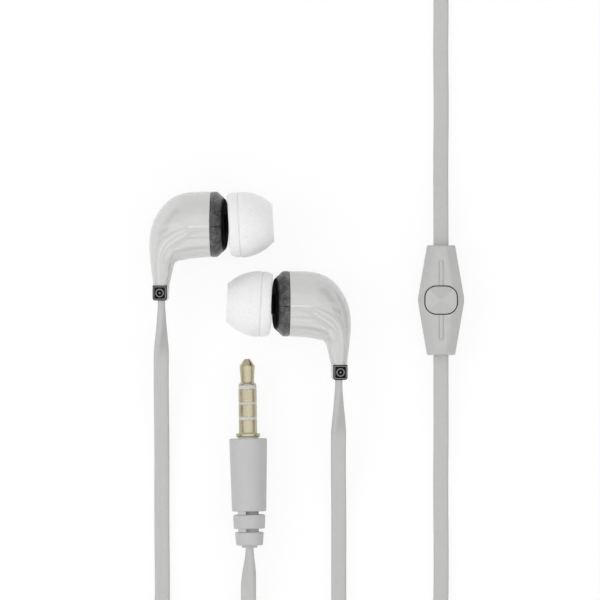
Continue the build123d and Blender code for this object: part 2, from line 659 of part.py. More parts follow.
def boot():
    """The moulded grip with its slotted strain relief."""
    start = BARREL_LENGTH + FLANGE_LENGTH + COLLAR_LENGTH
    end = start + BOOT_LENGTH
    pieces = [rounded_cone(start, end, BOOT_FRONT_RADIUS, BOOT_REAR_RADIUS)]
    slots = []
    for length, front_radius, rear_radius in BOOT_SEGMENTS:
        slots.append((end, end + BOOT_SLOT))
        pieces.append(
            rounded_cone(end + BOOT_SLOT, end + BOOT_SLOT + length, front_radius, rear_radius)
        )
        end += BOOT_SLOT + length
    solid = Part() + pieces
    low, high = BOOT_RIB_EDGES
    for (slot_start, slot_end), (_, radius, _) in zip(slots, BOOT_SEGMENTS):
        web = disc(slot_start, slot_end, radius) & block(
            (slot_start, slot_end), (low, high), (-radius, radius)
        )
        solid += disc(slot_start, slot_end, BOOT_CORE_RADIUS) + web
    solid += disc(end, end + BOOT_END_LENGTH, BOOT_END_RADIUS)
    return solid - disc(start, start + SOLDER_TAIL, SOLDER_TUBE_RADIUS)


def rounded_cone(start, end, front, rear):
    """A cone frustum about the X axis with both rims rounded."""
    cone = turned((start, 0), (start, front), (end, rear), (end, 0))
    return fillet(cone.edges().filter_by(GeomType.CIRCLE), BOOT_ROUND)


def placed_plug():
    """The plug lying on the table, nose towards +Y."""
    pieces = {**plug_contacts(), "plug_boot": boot()}
    place = Pos(PLUG_X, PLUG_TIP_Y, BOOT_FRONT_RADIUS) * Rot(Z=PLUG_LEAN - 90)
    return {name: place * shape for name, shape in pieces.items()}


# ---- splitter, hank and tie ----------------------------------------------------------------------------
def splitter():
    """The Y-splitter's two shells about their own middle, branches leaving towards +X."""
    outside = rounded_plate(
        SPLITTER_LENGTH, SPLITTER_WIDTH, SPLITTER_ROUND, 0, SPLITTER_THICK
    )
    outside = fillet(outside.edges().group_by(Axis.Z)[-1], SPLITTER_WALL / 2)
    inside = rounded_plate(
        SPLITTER_LENGTH - 2 * SPLITTER_WALL, SPLITTER_WIDTH - 2 * SPLITTER_WALL,
        SPLITTER_ROUND - SPLITTER_WALL, SPLITTER_WALL, SPLITTER_THICK - SPLITTER_WALL,
    )
    shell = outside - inside
    seam = SPLITTER_THICK / 2
    lower = block(
        (-SPLITTER_LENGTH, SPLITTER_LENGTH), (-SPLITTER_WIDTH, SPLITTER_WIDTH), (0, seam)
    )
    return {"splitter_front": shell - lower, "splitter_rear": shell & lower}


def stadium(run, radius):
    """A stadium's outline with straight sides of the given run along X."""
    return RectangleRounded(run + 2 * radius, 2 * radius, radius - 0.001)


def hank():
    """The outer shape of the folded, put-away cord, about its own middle."""
    half_band = HANK_TURNS_ACROSS * TURN_PITCH / 2
    middle = LIMP_BEND + TURN_PITCH
    ring = stadium(HANK_RUN, middle + half_band) - stadium(HANK_RUN, middle - half_band)
    return Pos(0, 0, TIE_THICK) * extrude(ring, HANK_LAYERS * LAYER_PITCH)


def tie():
    """The band that holds the hank, about the hank's middle."""
    half = LIMP_BEND + TURN_PITCH + HANK_TURNS_ACROSS * TURN_PITCH / 2
    height = HANK_LAYERS * LAYER_PITCH
    band = block((0, TIE_WIDTH), (-half - TIE_THICK, half + TIE_THICK), (0, height + 2 * TIE_THICK))
    return band - block((0, TIE_WIDTH), (-half, half), (TIE_THICK, height + TIE_THICK))


# ---- cord ------------------------------------------------------------------------------------------------
def bend_radii(points):
    """As large an arc at each corner as its two runs allow, and the corner's turn in degrees."""
    points = [Vector(*point) for point in points]
    runs = [after - before for before, after in zip(points, points[1:])]
    radii, turns = [], []
    for before, after in zip(runs, runs[1:]):
        turn = before.get_angle(after)
        shorter = min(before.length, after.length)
        radii.append(0.45 * shorter / math.tan(math.radians(turn / 2)))
        turns.append(turn)
    return radii, turns


def flat_cord(name, points):
    """A flat cord lying along its route, with its broad side down."""
    radii, turns = bend_radii(points)
    path = FilletPolyline(*points, radius=radii)
    section = Plane(path @ 0, x_dir=(path % 0).cross(Vector(0, 0, 1)), z_dir=path % 0)
    cord = sweep(section * Rectangle(CORD_WIDTH, CORD_THICK), path)
    share = cord.volume / (CORD_WIDTH * CORD_THICK * path.length)
    print(
        f"{name}: {path.length:.1f} mm long, smallest radius {min(radii):.1f}, "
        f"largest turn {max(turns):.0f} degrees, volume over section x length {share:.4f}"
    )
    return cord


def cords(bundle):
    """Every free stretch of cord; those that end in the hank stop at its surface."""
    stretches = {
        "left_bud_cord": (LEFT_BUD_ROUTE, True),
        "left_splitter_cord": (LEFT_TAIL_ROUTE, True),
        "right_bud_cord": (RIGHT_BUD_ROUTE, False),
        "remote_cord": (REMOTE_ROUTE, False),
        "main_cord": (MAIN_ROUTE, True),
        "plug_cord": (PLUG_ROUTE, True),
    }
    made = {}
    for name, (route, into_hank) in stretches.items():
        cord = flat_cord(name, route)
        if into_hank:
            cord = (cord - bundle).solids().sort_by(SortBy.VOLUME)[-1]
        made[name] = cord
    return made


def main():
    """Build every sub-part and write one STEP file for each."""
    nodes = placed_earbuds()
    nodes.update({name: Pos(*REMOTE_MIDDLE, 0) * shape for name, shape in remote().items()})
    nodes.update(placed_plug())
    nodes.update({name: Pos(*SPLITTER_MIDDLE, 0) * shape for name, shape in splitter().items()})
    bundle = Pos(*HANK_MIDDLE, 0) * hank()
    nodes["cord_hank"] = bundle
    nodes["cord_tie"] = Pos(HANK_MIDDLE[0] - HANK_RUN / 2, HANK_MIDDLE[1], 0) * tie()
    nodes.update(cords(bundle))
    os.makedirs("parts", exist_ok=True)
    for name, shape in nodes.items():
        export_step(shape, f"parts/{name}.step")
    print(len(nodes), "nodes")


main()
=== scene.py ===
import json
import math

import bmesh
import bpy
from mathutils import Matrix, Vector


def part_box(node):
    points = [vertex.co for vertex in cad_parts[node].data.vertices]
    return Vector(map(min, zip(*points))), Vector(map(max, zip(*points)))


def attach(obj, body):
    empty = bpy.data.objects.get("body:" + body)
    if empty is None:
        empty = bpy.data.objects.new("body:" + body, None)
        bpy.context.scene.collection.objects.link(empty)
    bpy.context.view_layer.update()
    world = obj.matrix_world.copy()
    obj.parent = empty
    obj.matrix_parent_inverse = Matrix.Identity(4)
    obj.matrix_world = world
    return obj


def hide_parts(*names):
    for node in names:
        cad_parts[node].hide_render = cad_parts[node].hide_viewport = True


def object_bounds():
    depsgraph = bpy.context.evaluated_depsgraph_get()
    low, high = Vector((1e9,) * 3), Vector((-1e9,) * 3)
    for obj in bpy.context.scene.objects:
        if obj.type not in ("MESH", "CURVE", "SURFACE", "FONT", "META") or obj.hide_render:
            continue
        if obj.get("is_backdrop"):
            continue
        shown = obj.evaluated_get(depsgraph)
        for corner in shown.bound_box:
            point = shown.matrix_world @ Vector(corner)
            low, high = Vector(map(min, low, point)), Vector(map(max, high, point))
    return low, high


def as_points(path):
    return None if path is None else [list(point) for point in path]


# Wired in-ear earphones on a white table. Pieces are built in millimetres in their own frames, and
# place matrices put them in the row frame, in metres.
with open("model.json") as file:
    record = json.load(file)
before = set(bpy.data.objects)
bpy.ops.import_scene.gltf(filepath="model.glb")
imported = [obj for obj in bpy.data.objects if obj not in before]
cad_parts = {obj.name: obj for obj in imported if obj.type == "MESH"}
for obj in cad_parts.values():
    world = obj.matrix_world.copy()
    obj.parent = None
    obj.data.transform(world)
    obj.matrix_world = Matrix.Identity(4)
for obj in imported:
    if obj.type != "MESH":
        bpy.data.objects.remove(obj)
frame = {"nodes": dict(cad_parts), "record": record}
cad_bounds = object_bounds()
MM = 0.001
ROOT = "earphones"
NODES = frame["nodes"]
MOUNTS = {mount["name"]: mount for mount in frame["record"]["mounts"]}


def new_object(name, data):
    """An object in the scene's collection."""
    made = bpy.data.objects.new(name, data)
    bpy.context.scene.collection.objects.link(made)
    return made


# ---- camera
VIEW_MIDDLE = (0.00957, -0.00273)
VIEW_WIDTH = 0.1154
CAMERA_HEIGHT = 2.0
SENSOR = 36.0


def add_camera():
    """A long lens that looks straight down."""
    camera = bpy.data.cameras.new("camera")
    camera.sensor_width = SENSOR
    camera.lens = SENSOR * CAMERA_HEIGHT / VIEW_WIDTH
    camera.clip_end = 10.0
    holder = new_object("camera", camera)
    holder.location = (*VIEW_MIDDLE, CAMERA_HEIGHT)
    bpy.context.scene.camera = holder


add_camera()

# ---- meshes
WELD = 5e-7  # metres
BROKEN_EDGE = 0.04


def placed_mesh(name, points, faces, place):
    """A welded mesh, its faces outwards, from points in a piece's own frame."""
    mesh = bpy.data.meshes.new(name)
    mesh.from_pydata([place @ Vector(point) for point in points], [], faces)
    work = bmesh.new()
    work.from_mesh(mesh)
    bmesh.ops.remove_doubles(work, verts=work.verts, dist=WELD)
    bmesh.ops.recalc_face_normals(work, faces=work.faces)
    work.to_mesh(mesh)
    work.free()
    return mesh


def add_mesh(name, points, faces, place, finish, body=ROOT, crease=40):
    """A smooth piece that rides on a body; edges sharper than the crease in degrees stay sharp."""
    mesh = placed_mesh(name, points, faces, place)
    mesh.polygons.foreach_set("use_smooth", [True] * len(mesh.polygons))
    mesh.set_sharp_from_angle(angle=math.radians(crease))
    mesh.materials.append(MATERIALS[finish])
    piece = new_object(name, mesh)
    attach(piece, body)
    return piece


def standing_place(node):
    """A place matrix whose origin is on the table under the middle of a node."""
    low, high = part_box(node)
    middle = (low + high) / 2
    return Matrix.Translation((middle.x, middle.y, 0)) @ Matrix.Scale(MM, 4)


def evenly(segments):
    """Angles all round, in radians."""
    return [math.tau * step / segments for step in range(segments)]


def walls(rings, count, closed=False):
    """Faces between rings of points, each ring with the same count of points."""
    faces = []
    for ring in range(rings if closed else rings - 1):
        low, high = ring * count, (ring + 1) % rings * count
        for step in range(count):
            following = (step + 1) % count
            faces.append((low + step, low + following, high + following, high + step))
    return faces


def tube(rings, count):
    """Faces of a tube through rings of points, closed at both ends."""
    ends = [tuple(range(count)), tuple(range((rings - 1) * count, rings * count))]
    return ends + walls(rings, count)


def lathe(name, outline, place, finish, body=ROOT, angles=evenly(96), warp=None):
    """Turn a closed outline of (along, radius) points in millimetres about the X axis.

    warp moves each point of the turned shape, and gets its place, radius and angle.
    """
    points = []
    for along, radius in outline:
        for angle in angles:
            point = Vector((along, radius * math.cos(angle), radius * math.sin(angle)))
            points.append(warp(point, radius, angle) if warp else point)
    faces = walls(len(outline), len(angles), closed=True)
    return add_mesh(name, points, faces, place, finish, body)


def finish_piece(piece, slot, *nodes):
    """Hide the nodes that a piece stands for; slot is not used."""
    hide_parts(*nodes)
    return piece


def arc(centre, radii, start, end, steps=6):
    """Points of an elliptical arc, for an outline."""
    turns = [math.radians(start + (end - start) * step / steps) for step in range(steps + 1)]
    return [(centre[0] + radii[0] * math.cos(turn), centre[1] + radii[1] * math.sin(turn))
            for turn in turns]


def smooth_through(stations, count):
    """Evenly stepped rows of values on a smooth curve through the stations."""
    before = [2 * a - b for a, b in zip(stations[0], stations[1])]
    after = [2 * a - b for a, b in zip(stations[-1], stations[-2])]
    ends = [before, *stations, after]
    rows = []
    for step in range(count + 1):
        place = step / count * (len(stations) - 1)
        first = min(int(place), len(stations) - 2)
        t = place - first
        rows.append([
            0.5 * (2 * b + (c - a) * t + (2 * a - 5 * b + 4 * c - d) * t**2
                   + (3 * b - a - 3 * c + d) * t**3)
            for a, b, c, d in zip(*ends[first:first + 4])
        ])
    return rows


# ---- cords: routes in millimetres, as in the CAD model
CORD_WIDTH = 2.9
CORD_THICK = 1.4
LEFT_BUD_ROUTE = [
    (-17, -2.83, 5.575), (-17, -9, 5.575), (-17.1, -19, 3.4), (-16.95, -31, 1), (-17, -45, 0.75),
    (-16.85, -59, 0.8), (-17, -69, 2), (-17.4, -77, 5.4), (-18.4, -84.5, 7.6), (-18.65, -90, 7.8),
]
LEFT_TAIL_ROUTE = [
    (26.5, -100, 10.7), (34.5, -101, 10.4), (42, -101.6, 7.8), (49, -101.8, 4.2), (55.5, -101.7, 1.6),
    (62, -101.4, 0.9), (66.7, -98.7, 0.75), (69.4, -94.1, 0.75), (69.4, -83.2, 0.8),
    (66.7, -78.6, 1.2), (62, -75.9, 1.8), (57, -75.9, 1.8),
]
RIGHT_BUD_ROUTE = [
    (17, -18.05, 5.575), (17, -24.5, 5.575), (16.9, -34, 3.2), (17.05, -44.5, 1), (17, -55.5, 0.75),
    (17.05, -65.56, 0.75), (22.74, -71.25, 0.77), (30.86, -71.3, 0.75), (36.6, -65.56, 0.75),
    (36.75, -53, 0.75), (36.6, -39, 0.8), (36.7, -28, 1.1), (36.65, -20, 2.6), (36.65, -12.5, 2.6),
]
REMOTE_ROUTE = [
    (36.65, 7, 2.6), (36.65, 14, 2.6), (36.6, 22.5, 1), (36.75, 34, 0.75), (36.6, 45.5, 0.77),
    (36.7, 52.2, 0.75), (36.65, 56.8, 0.77), (38.9, 60.7, 0.75), (42.9, 62.9, 0.77),
    (52.5, 62.65, 0.77), (62.1, 62.75, 0.75), (66.7, 60.1, 0.77), (69.4, 55.4, 0.75),
    (69.35, 44, 0.77), (69.45, 17, 0.75), (69.35, -14, 0.77), (69.45, -41, 0.75),
    (69.35, -55.5, 0.77), (69.4, -65.4, 0.8), (66.7, -70, 1.2), (62, -72.7, 1.8), (57, -72.7, 1.8),
]
MAIN_ROUTE = [
    (44, -74.3, 1.8), (39, -74.3, 1.8), (32, -76.3, 1.2), (25, -78.8, 1.6), (18, -79.3, 1.9),
]
PLUG_ROUTE = [
    (11.1, -79.4, 4.8), (6.3, -79.35, 4.8), (2.1, -76.95, 4.5), (-0.3, -72.8, 3.7),
    (-0.3, -67.6, 2.5), (-0.29, -62.4, 2.2), (-0.36, -57.6, 3), (-0.062, -53.2, 3.63),
    (-0.102, -50.257, 3.63),
]

# The put-away hank: turns on edge, side by side in lanes and on one another in layers.
HANK_MIDDLE = (10.9, -90.8)
HANK_HALF_RUN = 18.0
OUTER_LANE_RADIUS = 11.6
LANE_PITCH = 1.45
FIRST_LAYER_HEIGHT = 1.875
LAYER_PITCH = 2.95
STRAIGHT_STEPS = (0.5, 0.0, -0.5)  # shares of the half run along a straight side
FOLD_STEPS = (15, 45, 75, 105, 135, 165)  # degrees round a fold
LAP_STEPS = 2 * (len(STRAIGHT_STEPS) + len(FOLD_STEPS))
CORNER_REACH = 1 / math.cos(math.radians(15))  # a fold's control points lie this far outside it


def key_value(keys, at):
    """The value at a place between (place, value) keys."""
    for (start, low), (end, high) in zip(keys, keys[1:]):
        if at <= end:
            return low + (high - low) * max(0.0, at - start) / (end - start)
    return keys[-1][1]


def hank_point(step, lanes, layers):
    """The control point at a step along the winding, counter-clockwise from the upper side."""
    side, rest = divmod(step % LAP_STEPS, LAP_STEPS // 2)
    way = 1 if side == 0 else -1
    radius = OUTER_LANE_RADIUS - LANE_PITCH * key_value(lanes, step)
    if rest < len(STRAIGHT_STEPS):
        x, y = STRAIGHT_STEPS[rest] * HANK_HALF_RUN, radius
    else:
        turn = math.radians(90 + FOLD_STEPS[rest - len(STRAIGHT_STEPS)])
        x = -HANK_HALF_RUN + radius * CORNER_REACH * math.cos(turn)
        y = radius * CORNER_REACH * math.sin(turn)
    height = FIRST_LAYER_HEIGHT + LAYER_PITCH * key_value(layers, step)
    return (HANK_MIDDLE[0] + way * x, HANK_MIDDLE[1] + way * y, height)


def hank_points(first, last, lanes, layers):
    """Control points from one step of the winding to another."""
    return [hank_point(step, lanes, layers) for step in range(first, last + 1)]


def metres(point):
    """A point in metres from one in millimetres."""
    return tuple(round(MM * value, 9) for value in point)


def spline_points(name, route):
    """Points, in metres, along the smooth curve that a route's control points draw."""
    curve = bpy.data.curves.new(name, "CURVE")
    curve.dimensions = "3D"
    spline = curve.splines.new("NURBS")
    spline.points.add(len(route) - 1)
    for control, point in zip(spline.points, route):
        control.co = (*metres(point), 1.0)
    spline.order_u = 3
    spline.use_endpoint_u = True
    spline.resolution_u = 14
    holder = new_object(name, curve)
    mesh = bpy.data.meshes.new_from_object(holder)
    points = [vertex.co.copy() for vertex in mesh.vertices]
    bpy.data.objects.remove(holder)
    bpy.data.curves.remove(curve)
    bpy.data.meshes.remove(mesh)
    return points


CORD_ROUND = 0.5
CORD_GROOVE = 0.035
CORD_GROOVE_WIDTH = 0.35


def cord_section():
    """The flat cord's outline: rounded edges and a shallow groove along both broad sides."""
    half_width, half_thick = CORD_WIDTH / 2, CORD_THICK / 2
    across = half_width - CORD_ROUND
    corner = [
        (across + CORD_ROUND * math.cos(math.radians(angle)),
         half_thick - CORD_ROUND + CORD_ROUND * math.sin(math.radians(angle)))
        for angle in (0, 22, 45, 68, 90)
    ]
    groove = [
        (across / 2, half_thick), (CORD_GROOVE_WIDTH, half_thick),
        (CORD_GROOVE_WIDTH / 2, half_thick - 0.7 * CORD_GROOVE), (0, half_thick - CORD_GROOVE),
    ]
    quarter = corner + groove
    upper = quarter + [(-x, y) for x, y in reversed(quarter[:-1])]
    return upper + [(-x, -y) for x, y in upper]


def ribbon(name, route, start=(), end=(), hank=()):
    """A flat cord along a route, turned from flat by some degrees where something holds it.

    start and end are (millimetres from that end, degrees) keys; hank is (route index, degrees) keys.
    Gives the piece and the path it follows.
    """
    path = spline_points(name, route)
    gone = [0.0]
    for before, after in zip(path, path[1:]):
        gone.append(gone[-1] + (after - before).length / MM)
    section = cord_section()
    points = []
    for index, here in enumerate(path):
        before, after = path[max(index - 1, 0)], path[min(index + 1, len(path) - 1)]
        along = (after - before).normalized()
        side = along.cross(Vector((0, 0, 1))).normalized()
        up = side.cross(along)
        on_route = index / (len(path) - 1) * (len(route) - 1)
        held = ((start, gone[index]), (end, gone[-1] - gone[index]), (hank, on_route))
        turn = math.radians(max([key_value(keys, at) for keys, at in held if keys], default=0.0))
        wide = math.cos(turn) * side + math.sin(turn) * up
        thick = math.cos(turn) * up - math.sin(turn) * side
        points += [here + MM * (x * wide + y * thick) for x, y in section]
    faces = tube(len(path), len(section))
    return add_mesh(name, points, faces, Matrix.Identity(4), "cord_rubber"), path


# ---- materials
def linear(code):
    """A colour from its six hexadecimal digits, as the renderer's linear values."""
    shares = [int(code[start:start + 2], 16) / 255 for start in (0, 2, 4)]
    return [s / 12.92 if s <= 0.04045 else ((s + 0.055) / 1.055) ** 2.4 for s in shares]


def shades(code, *stops):
    """Ramp stops of one colour, each darker or lighter by its factor."""
    return [(at, [min(1, factor * value) for value in linear(code)]) for at, factor in stops]


class Finish:
    """A node material on object coordinates in metres, built up step by step."""

    def __init__(self, roughness, metallic=0.0):
        self.material = bpy.data.materials.new("finish")
        self.material.use_nodes = True
        self.tree = self.material.node_tree
        self.join = self.tree.links.new
        self.shader = self.tree.nodes["Principled BSDF"]
        self.set("Roughness", roughness)
        self.set("Metallic", metallic)
        self.place = self.node("TexCoord").outputs["Object"]

    def node(self, kind, **values):
        """A node of a kind with some of its inputs set."""
        made = self.tree.nodes.new(f"ShaderNode{kind}")
        for name, value in values.items():
            made.inputs[name].default_value = value
        return made

    def noise(self, scale, detail=4.0, rough=0.55, stretch=(1, 1, 1)):
        """A noise value, scale in cells per metre."""
        mapping = self.node("Mapping", Scale=stretch)
        self.join(self.place, mapping.inputs["Vector"])
        node = self.node("TexNoise", Scale=scale, Detail=detail, Roughness=rough)
        self.join(mapping.outputs["Vector"], node.inputs["Vector"])
        return node.outputs["Fac"]

    def ramp(self, value, stops):
        """Colours or greys over a value: stops are (place, colour)."""
        node = self.node("ValToRGB")
        elements = node.color_ramp.elements
        while len(elements) < len(stops):
            elements.new(0.5)
        for element, (place, colour) in zip(elements, stops):
            element.position = place
            element.color = (*colour, 1.0) if hasattr(colour, "__len__") else (colour,) * 3 + (1,)
        self.join(value, node.inputs["Fac"])
        return node.outputs["Color"]

    def mix(self, share, first, second):
        """Blend two colours by a share."""
        node = self.node("Mix")
        node.data_type = "RGBA"
        self.join(share, node.inputs["Factor"])
        self.join(first, node.inputs["A"])
        self.join(second, node.inputs["B"])
        return node.outputs["Result"]

    def link(self, value, socket):
        """Drive one of the shader's sockets."""
        self.join(value, self.shader.inputs[socket])
        return self

    def set(self, socket, value):
        """Give one of the shader's sockets a plain value."""
        self.shader.inputs[socket].default_value = value
        return self

    def bump(self, value, depth):
        """A fine relief of the given depth in metres."""
        node = self.node("Bump", Distance=depth)
        self.join(value, node.inputs["Height"])
        self.join(node.outputs["Normal"], self.shader.inputs["Normal"])
        return self


def moulded(code, roughness, spread=0.04, cell=900.0, depth=2e-6, coat=0.0, coat_index=1.5,
            shine=0.5):
    """Moulded plastic or rubber: a slightly uneven colour, gloss and surface."""
    finish = Finish(roughness)
    tones = shades(code, (0.3, 1 - spread), (0.7, 1 + spread))
    finish.link(finish.ramp(finish.noise(cell), tones), "Base Color")
    gloss = [(0.3, max(0.02, roughness * 0.85)), (0.7, min(1.0, roughness * 1.15))]
    finish.link(finish.ramp(finish.noise(cell / 3), gloss), "Roughness")
    finish.bump(finish.noise(cell * 4, detail=2), depth)
    if coat:
        finish.set("Coat Weight", coat)
        finish.set("Coat Roughness", 0.025)
        finish.set("Coat IOR", coat_index)
    finish.set("Specular IOR Level", shine)
    return finish.material


def metal(code, roughness, streak=(1, 1, 1)):
    """Plated or turned metal with fine streaks and small pits."""
    finish = Finish(roughness, metallic=1.0)
    streaks = finish.noise(2500.0, detail=6, stretch=streak)
    finish.link(finish.ramp(streaks, shades(code, (0.25, 0.8), (0.7, 1.08))), "Base Color")
    finish.link(finish.ramp(streaks, [(0.3, roughness * 0.7), (0.7, roughness * 1.4)]), "Roughness")
    finish.bump(streaks, 3e-6)
    return finish.material


def silicone():
    """Soft white silicone with faint dust specks."""
    finish = Finish(0.42)
    specks = finish.noise(5200.0, detail=3, rough=0.75)
    stops = [(0.32, linear("B4B4B2")), (0.40, linear("EAEAEA")), (1.0, linear("EEEEED"))]
    finish.link(finish.ramp(specks, stops), "Base Color")
    finish.set("Subsurface Weight", 0.3)
    finish.set("Subsurface Radius", (1.0, 0.98, 0.96))
    finish.set("Subsurface Scale", 0.0012)
    finish.set("Coat Weight", 0.5)
    finish.set("Coat Roughness", 0.3)
    finish.bump(finish.noise(5200.0, detail=2), 6e-6)
    return finish.material


def mottled():
    """The bezel's dark mottled band: charcoal clouds with fine light grain and dark pits."""
    finish = Finish(0.34)
    clouds = finish.noise(900.0, detail=8, rough=0.72)
    stops = [
        (0.30, linear("080707")), (0.42, linear("1E1C1C")), (0.52, linear("343233")),
        (0.66, linear("747272")),
    ]
    grain = finish.noise(5200.0, detail=2, rough=0.8)
    grains = [(0.36, linear("1C1B1B")), (0.5, linear("3E3C3D")), (0.66, linear("8A8888"))]
    share = finish.ramp(finish.noise(1500.0), [(0.35, 0.15), (0.65, 0.6)])
    blend = finish.mix(share, finish.ramp(clouds, stops), finish.ramp(grain, grains))
    finish.link(blend, "Base Color")
    finish.link(finish.ramp(finish.noise(1800.0), [(0.3, 0.25), (0.7, 0.5)]), "Roughness")
    finish.set("Coat Weight", 0.35)
    finish.set("Coat Roughness", 0.25)
    finish.bump(finish.noise(2600.0, detail=5), 1.5e-5)
    return finish.material


def woven(code):
    """A coarse woven band."""
    finish = Finish(0.85)
    weave = finish.node("TexWave", Scale=420.0, Distortion=0.6)
    finish.join(finish.place, weave.inputs["Vector"])
    tones = shades(code, (0.2, 0.6), (0.8, 1.3))
    finish.link(finish.ramp(weave.outputs["Fac"], tones), "Base Color")
    finish.set("Sheen Weight", 0.3)
    finish.bump(weave.outputs["Fac"], 1e-4)
    return finish.material


MATERIALS = {
    "housing_gloss": moulded("C7C7C6", 0.3, 0.012, 300.0, 2e-7, coat=1.0, coat_index=1.85,
                             shine=0.1),
    "bezel_mottled": mottled(),
    "black_gloss": moulded("060606", 0.45, 0.2, shine=0.12),
    "screen_steel": metal("9A9A9A", 0.35),
    "tip_silicone": silicone(),
    "inner_moulding": moulded("202020", 0.5, 0.1),
    "plated_steel": metal("B8B8BA", 0.3),
    "magnet_nickel": metal("C8C6C2", 0.15),
    "coil_copper": metal("C07840", 0.3, (1, 12, 12)),
    "diaphragm_film": moulded("C8C8C0", 0.2, 0.03),
    "circuit_board": moulded("1E5A32", 0.35, 0.15),
    "lead_enamel": moulded("C8C6C0", 0.5, 0.03),
    "cord_rubber": moulded("B9B9B8", 0.5, 0.02, 1500.0, 6e-6),
    "remote_gloss": moulded("B9B9B8", 0.45, 0.015, 700.0, 3e-6, coat=0.25),
    "button_satin": moulded("B2B2B1", 0.4, 0.02, 900.0, 3e-6, coat=1.0, coat_index=1.7),
    "plug_metal": metal("C6BDA2", 0.33, (1, 0.15, 1)),
    "plug_insulation": moulded("C6C5C3", 0.45, 0.03),
    "collar_white": moulded("E8E8E4", 0.5, 0.03),
    "boot_rubber": moulded("BABABA", 0.5, 0.02, 1600.0, 8e-6),
    "tie_band": woven("4A4A4C"),
    "badge_print": moulded("8E8C8E", 0.4, 0.1),
}
for name, material in MATERIALS.items():
    material.name = name

for part in frame["record"]["subparts"]:
    for held in NODES[part["node"]].material_slots:
        held.material = MATERIALS[part["material_slot"]]


# ---- earbuds
TIP_SEAL_AT = 7.9  # rim to the ear tip's mount, along the tip's axis
EARBUD_ROLL = 6.0
RIM_RADIUS = 6.27
SEAM_AHEAD = 0.21  # the seam's middle, in front of the rim's middle
SEAM_LEAN = 0.055  # how far the seam leans forward for each millimetre of height
SEAM_FADE = 1.6  # the lean is gone this far from the seam
BEZEL_EDGE = (2.62, 5.1)
BEZEL_BORE = 5.02
SCRATCH_AT = 95.0  # degrees round the bezel
SCRATCH_HALF = 1.1
SCRATCH_DEPTH = 0.25
TIP_PIVOT = 6.8
TIP_AHEAD = 0.06
TUBE_RADIUS = 3.3  # nearer the axis, and behind the tube's end, the tip stays on its nozzle
TUBE_END = 10.8
SKIRT_SAG = 0.6  # how far the skirt's lowest side is pushed forward
SAG_FROM = 2.8  # below the axis
SAG_OVER = 3.4
SKIRT_SHEAR = 0.05  # the lower half goes back by this share of the depth below the axis
SKIRT_ENDS = (3.8, 6.0)  # sag and shear fade out from the first place to the second
TIP_TILTS = {"left": 3.4, "right": 2.8}  # degrees that the soft tip leans in the table's plane

# The elbow: outer and inner side of the bend (x, y each) and half its height, from rim to stem.
ELBOW_STATIONS = [
    (0.0, 6.27, 0.0, -6.27, 6.27), (-2.2, 6.27, -1.7, -6.36, 6.27), (-5.0, 6.0, -3.7, -6.55, 6.1),
    (-7.6, 4.9, -5.4, -6.86, 5.55), (-9.75, 2.7, -6.55, -7.2, 4.75),
    (-11.2, -0.15, -7.02, -7.95, 3.85), (-11.74, -3.6, -7.27, -8.95, 2.95),
    (-11.48, -7.6, -7.55, -10.2, 2.15), (-11.0, -11.6, -7.87, -11.6, 1.6),
]
ELBOW_STEPS = 84
STEM_BOTTOM = -14.62
STEM_BOTTOM_SIDES = (-10.95, -8.07)
STEM_HALF_THICK = 1.4
STEM_SHARES = (0.03, 0.08, 0.15, 0.3, 0.5, 0.7, 0.88, 0.95, 0.985, 1.0)
STEM_SQUARENESS = 0.8
TUCK = 0.25  # how far the stem's end is rounded in
TUCK_FROM = 0.88  # share of the way down
MOUTH_WALL = 0.9
MOUTH_HALF_THICK = 0.75
MOUTH_DEPTH = 1.2
BADGE = (-10.93, -8.2, -14.6, -11.72)  # left, right, bottom and top edge
BADGE_TOP = 1.7
BADGE_ROUND = 0.5
BADGE_FOOT = 0.9
MARK_LEVELS = (BADGE_TOP - 0.02, BADGE_TOP + 0.03)
FRAME_INSETS = (0.2, 0.31)
RING_RADII = (0.78, 0.64)
DOT_RADIUS = 0.17


def earbud_place(side):
    """The earbud's own frame: origin in the rim, +X out through the tip, -Y down the stem."""
    mount = MOUNTS[f"{side}_ear_tip_seal"]
    away = -Vector(mount["axis"])
    rim = Vector(mount["pos_m"]) - TIP_SEAL_AT * MM * away
    place = Matrix.Rotation(math.radians(-EARBUD_ROLL), 4, "Y") @ Matrix.Scale(MM, 4)
    if side == "right":
        place = Matrix.Scale(-1, 4, (1, 0, 0)) @ place
    return Matrix.Translation(rim) @ place


def seam_shift(point):
    """The housing and bezel meet in a plane that leans a little against the rim."""
    fade = max(0.0, 1 - abs(point.x) / SEAM_FADE)
    return Vector((fade * (SEAM_AHEAD + SEAM_LEAN * point.z), 0, 0))


def elbow_ring(row, squareness, angles):
    """One cross-section of the elbow, from a circle to a rounded square."""
    outer, inner, height = Vector((row[0], row[1], 0)), Vector((row[2], row[3], 0)), row[4]
    middle, reach = (outer + inner) / 2, (outer - inner) / 2
    power = 2 / (2 + 6 * squareness)
    ring = []
    for angle in angles:
        across = math.copysign(abs(math.cos(angle)) ** power, math.cos(angle))
        up = math.copysign(abs(math.sin(angle)) ** power, math.sin(angle))
        ring.append(middle + across * reach + Vector((0, 0, up * height)))
    return ring


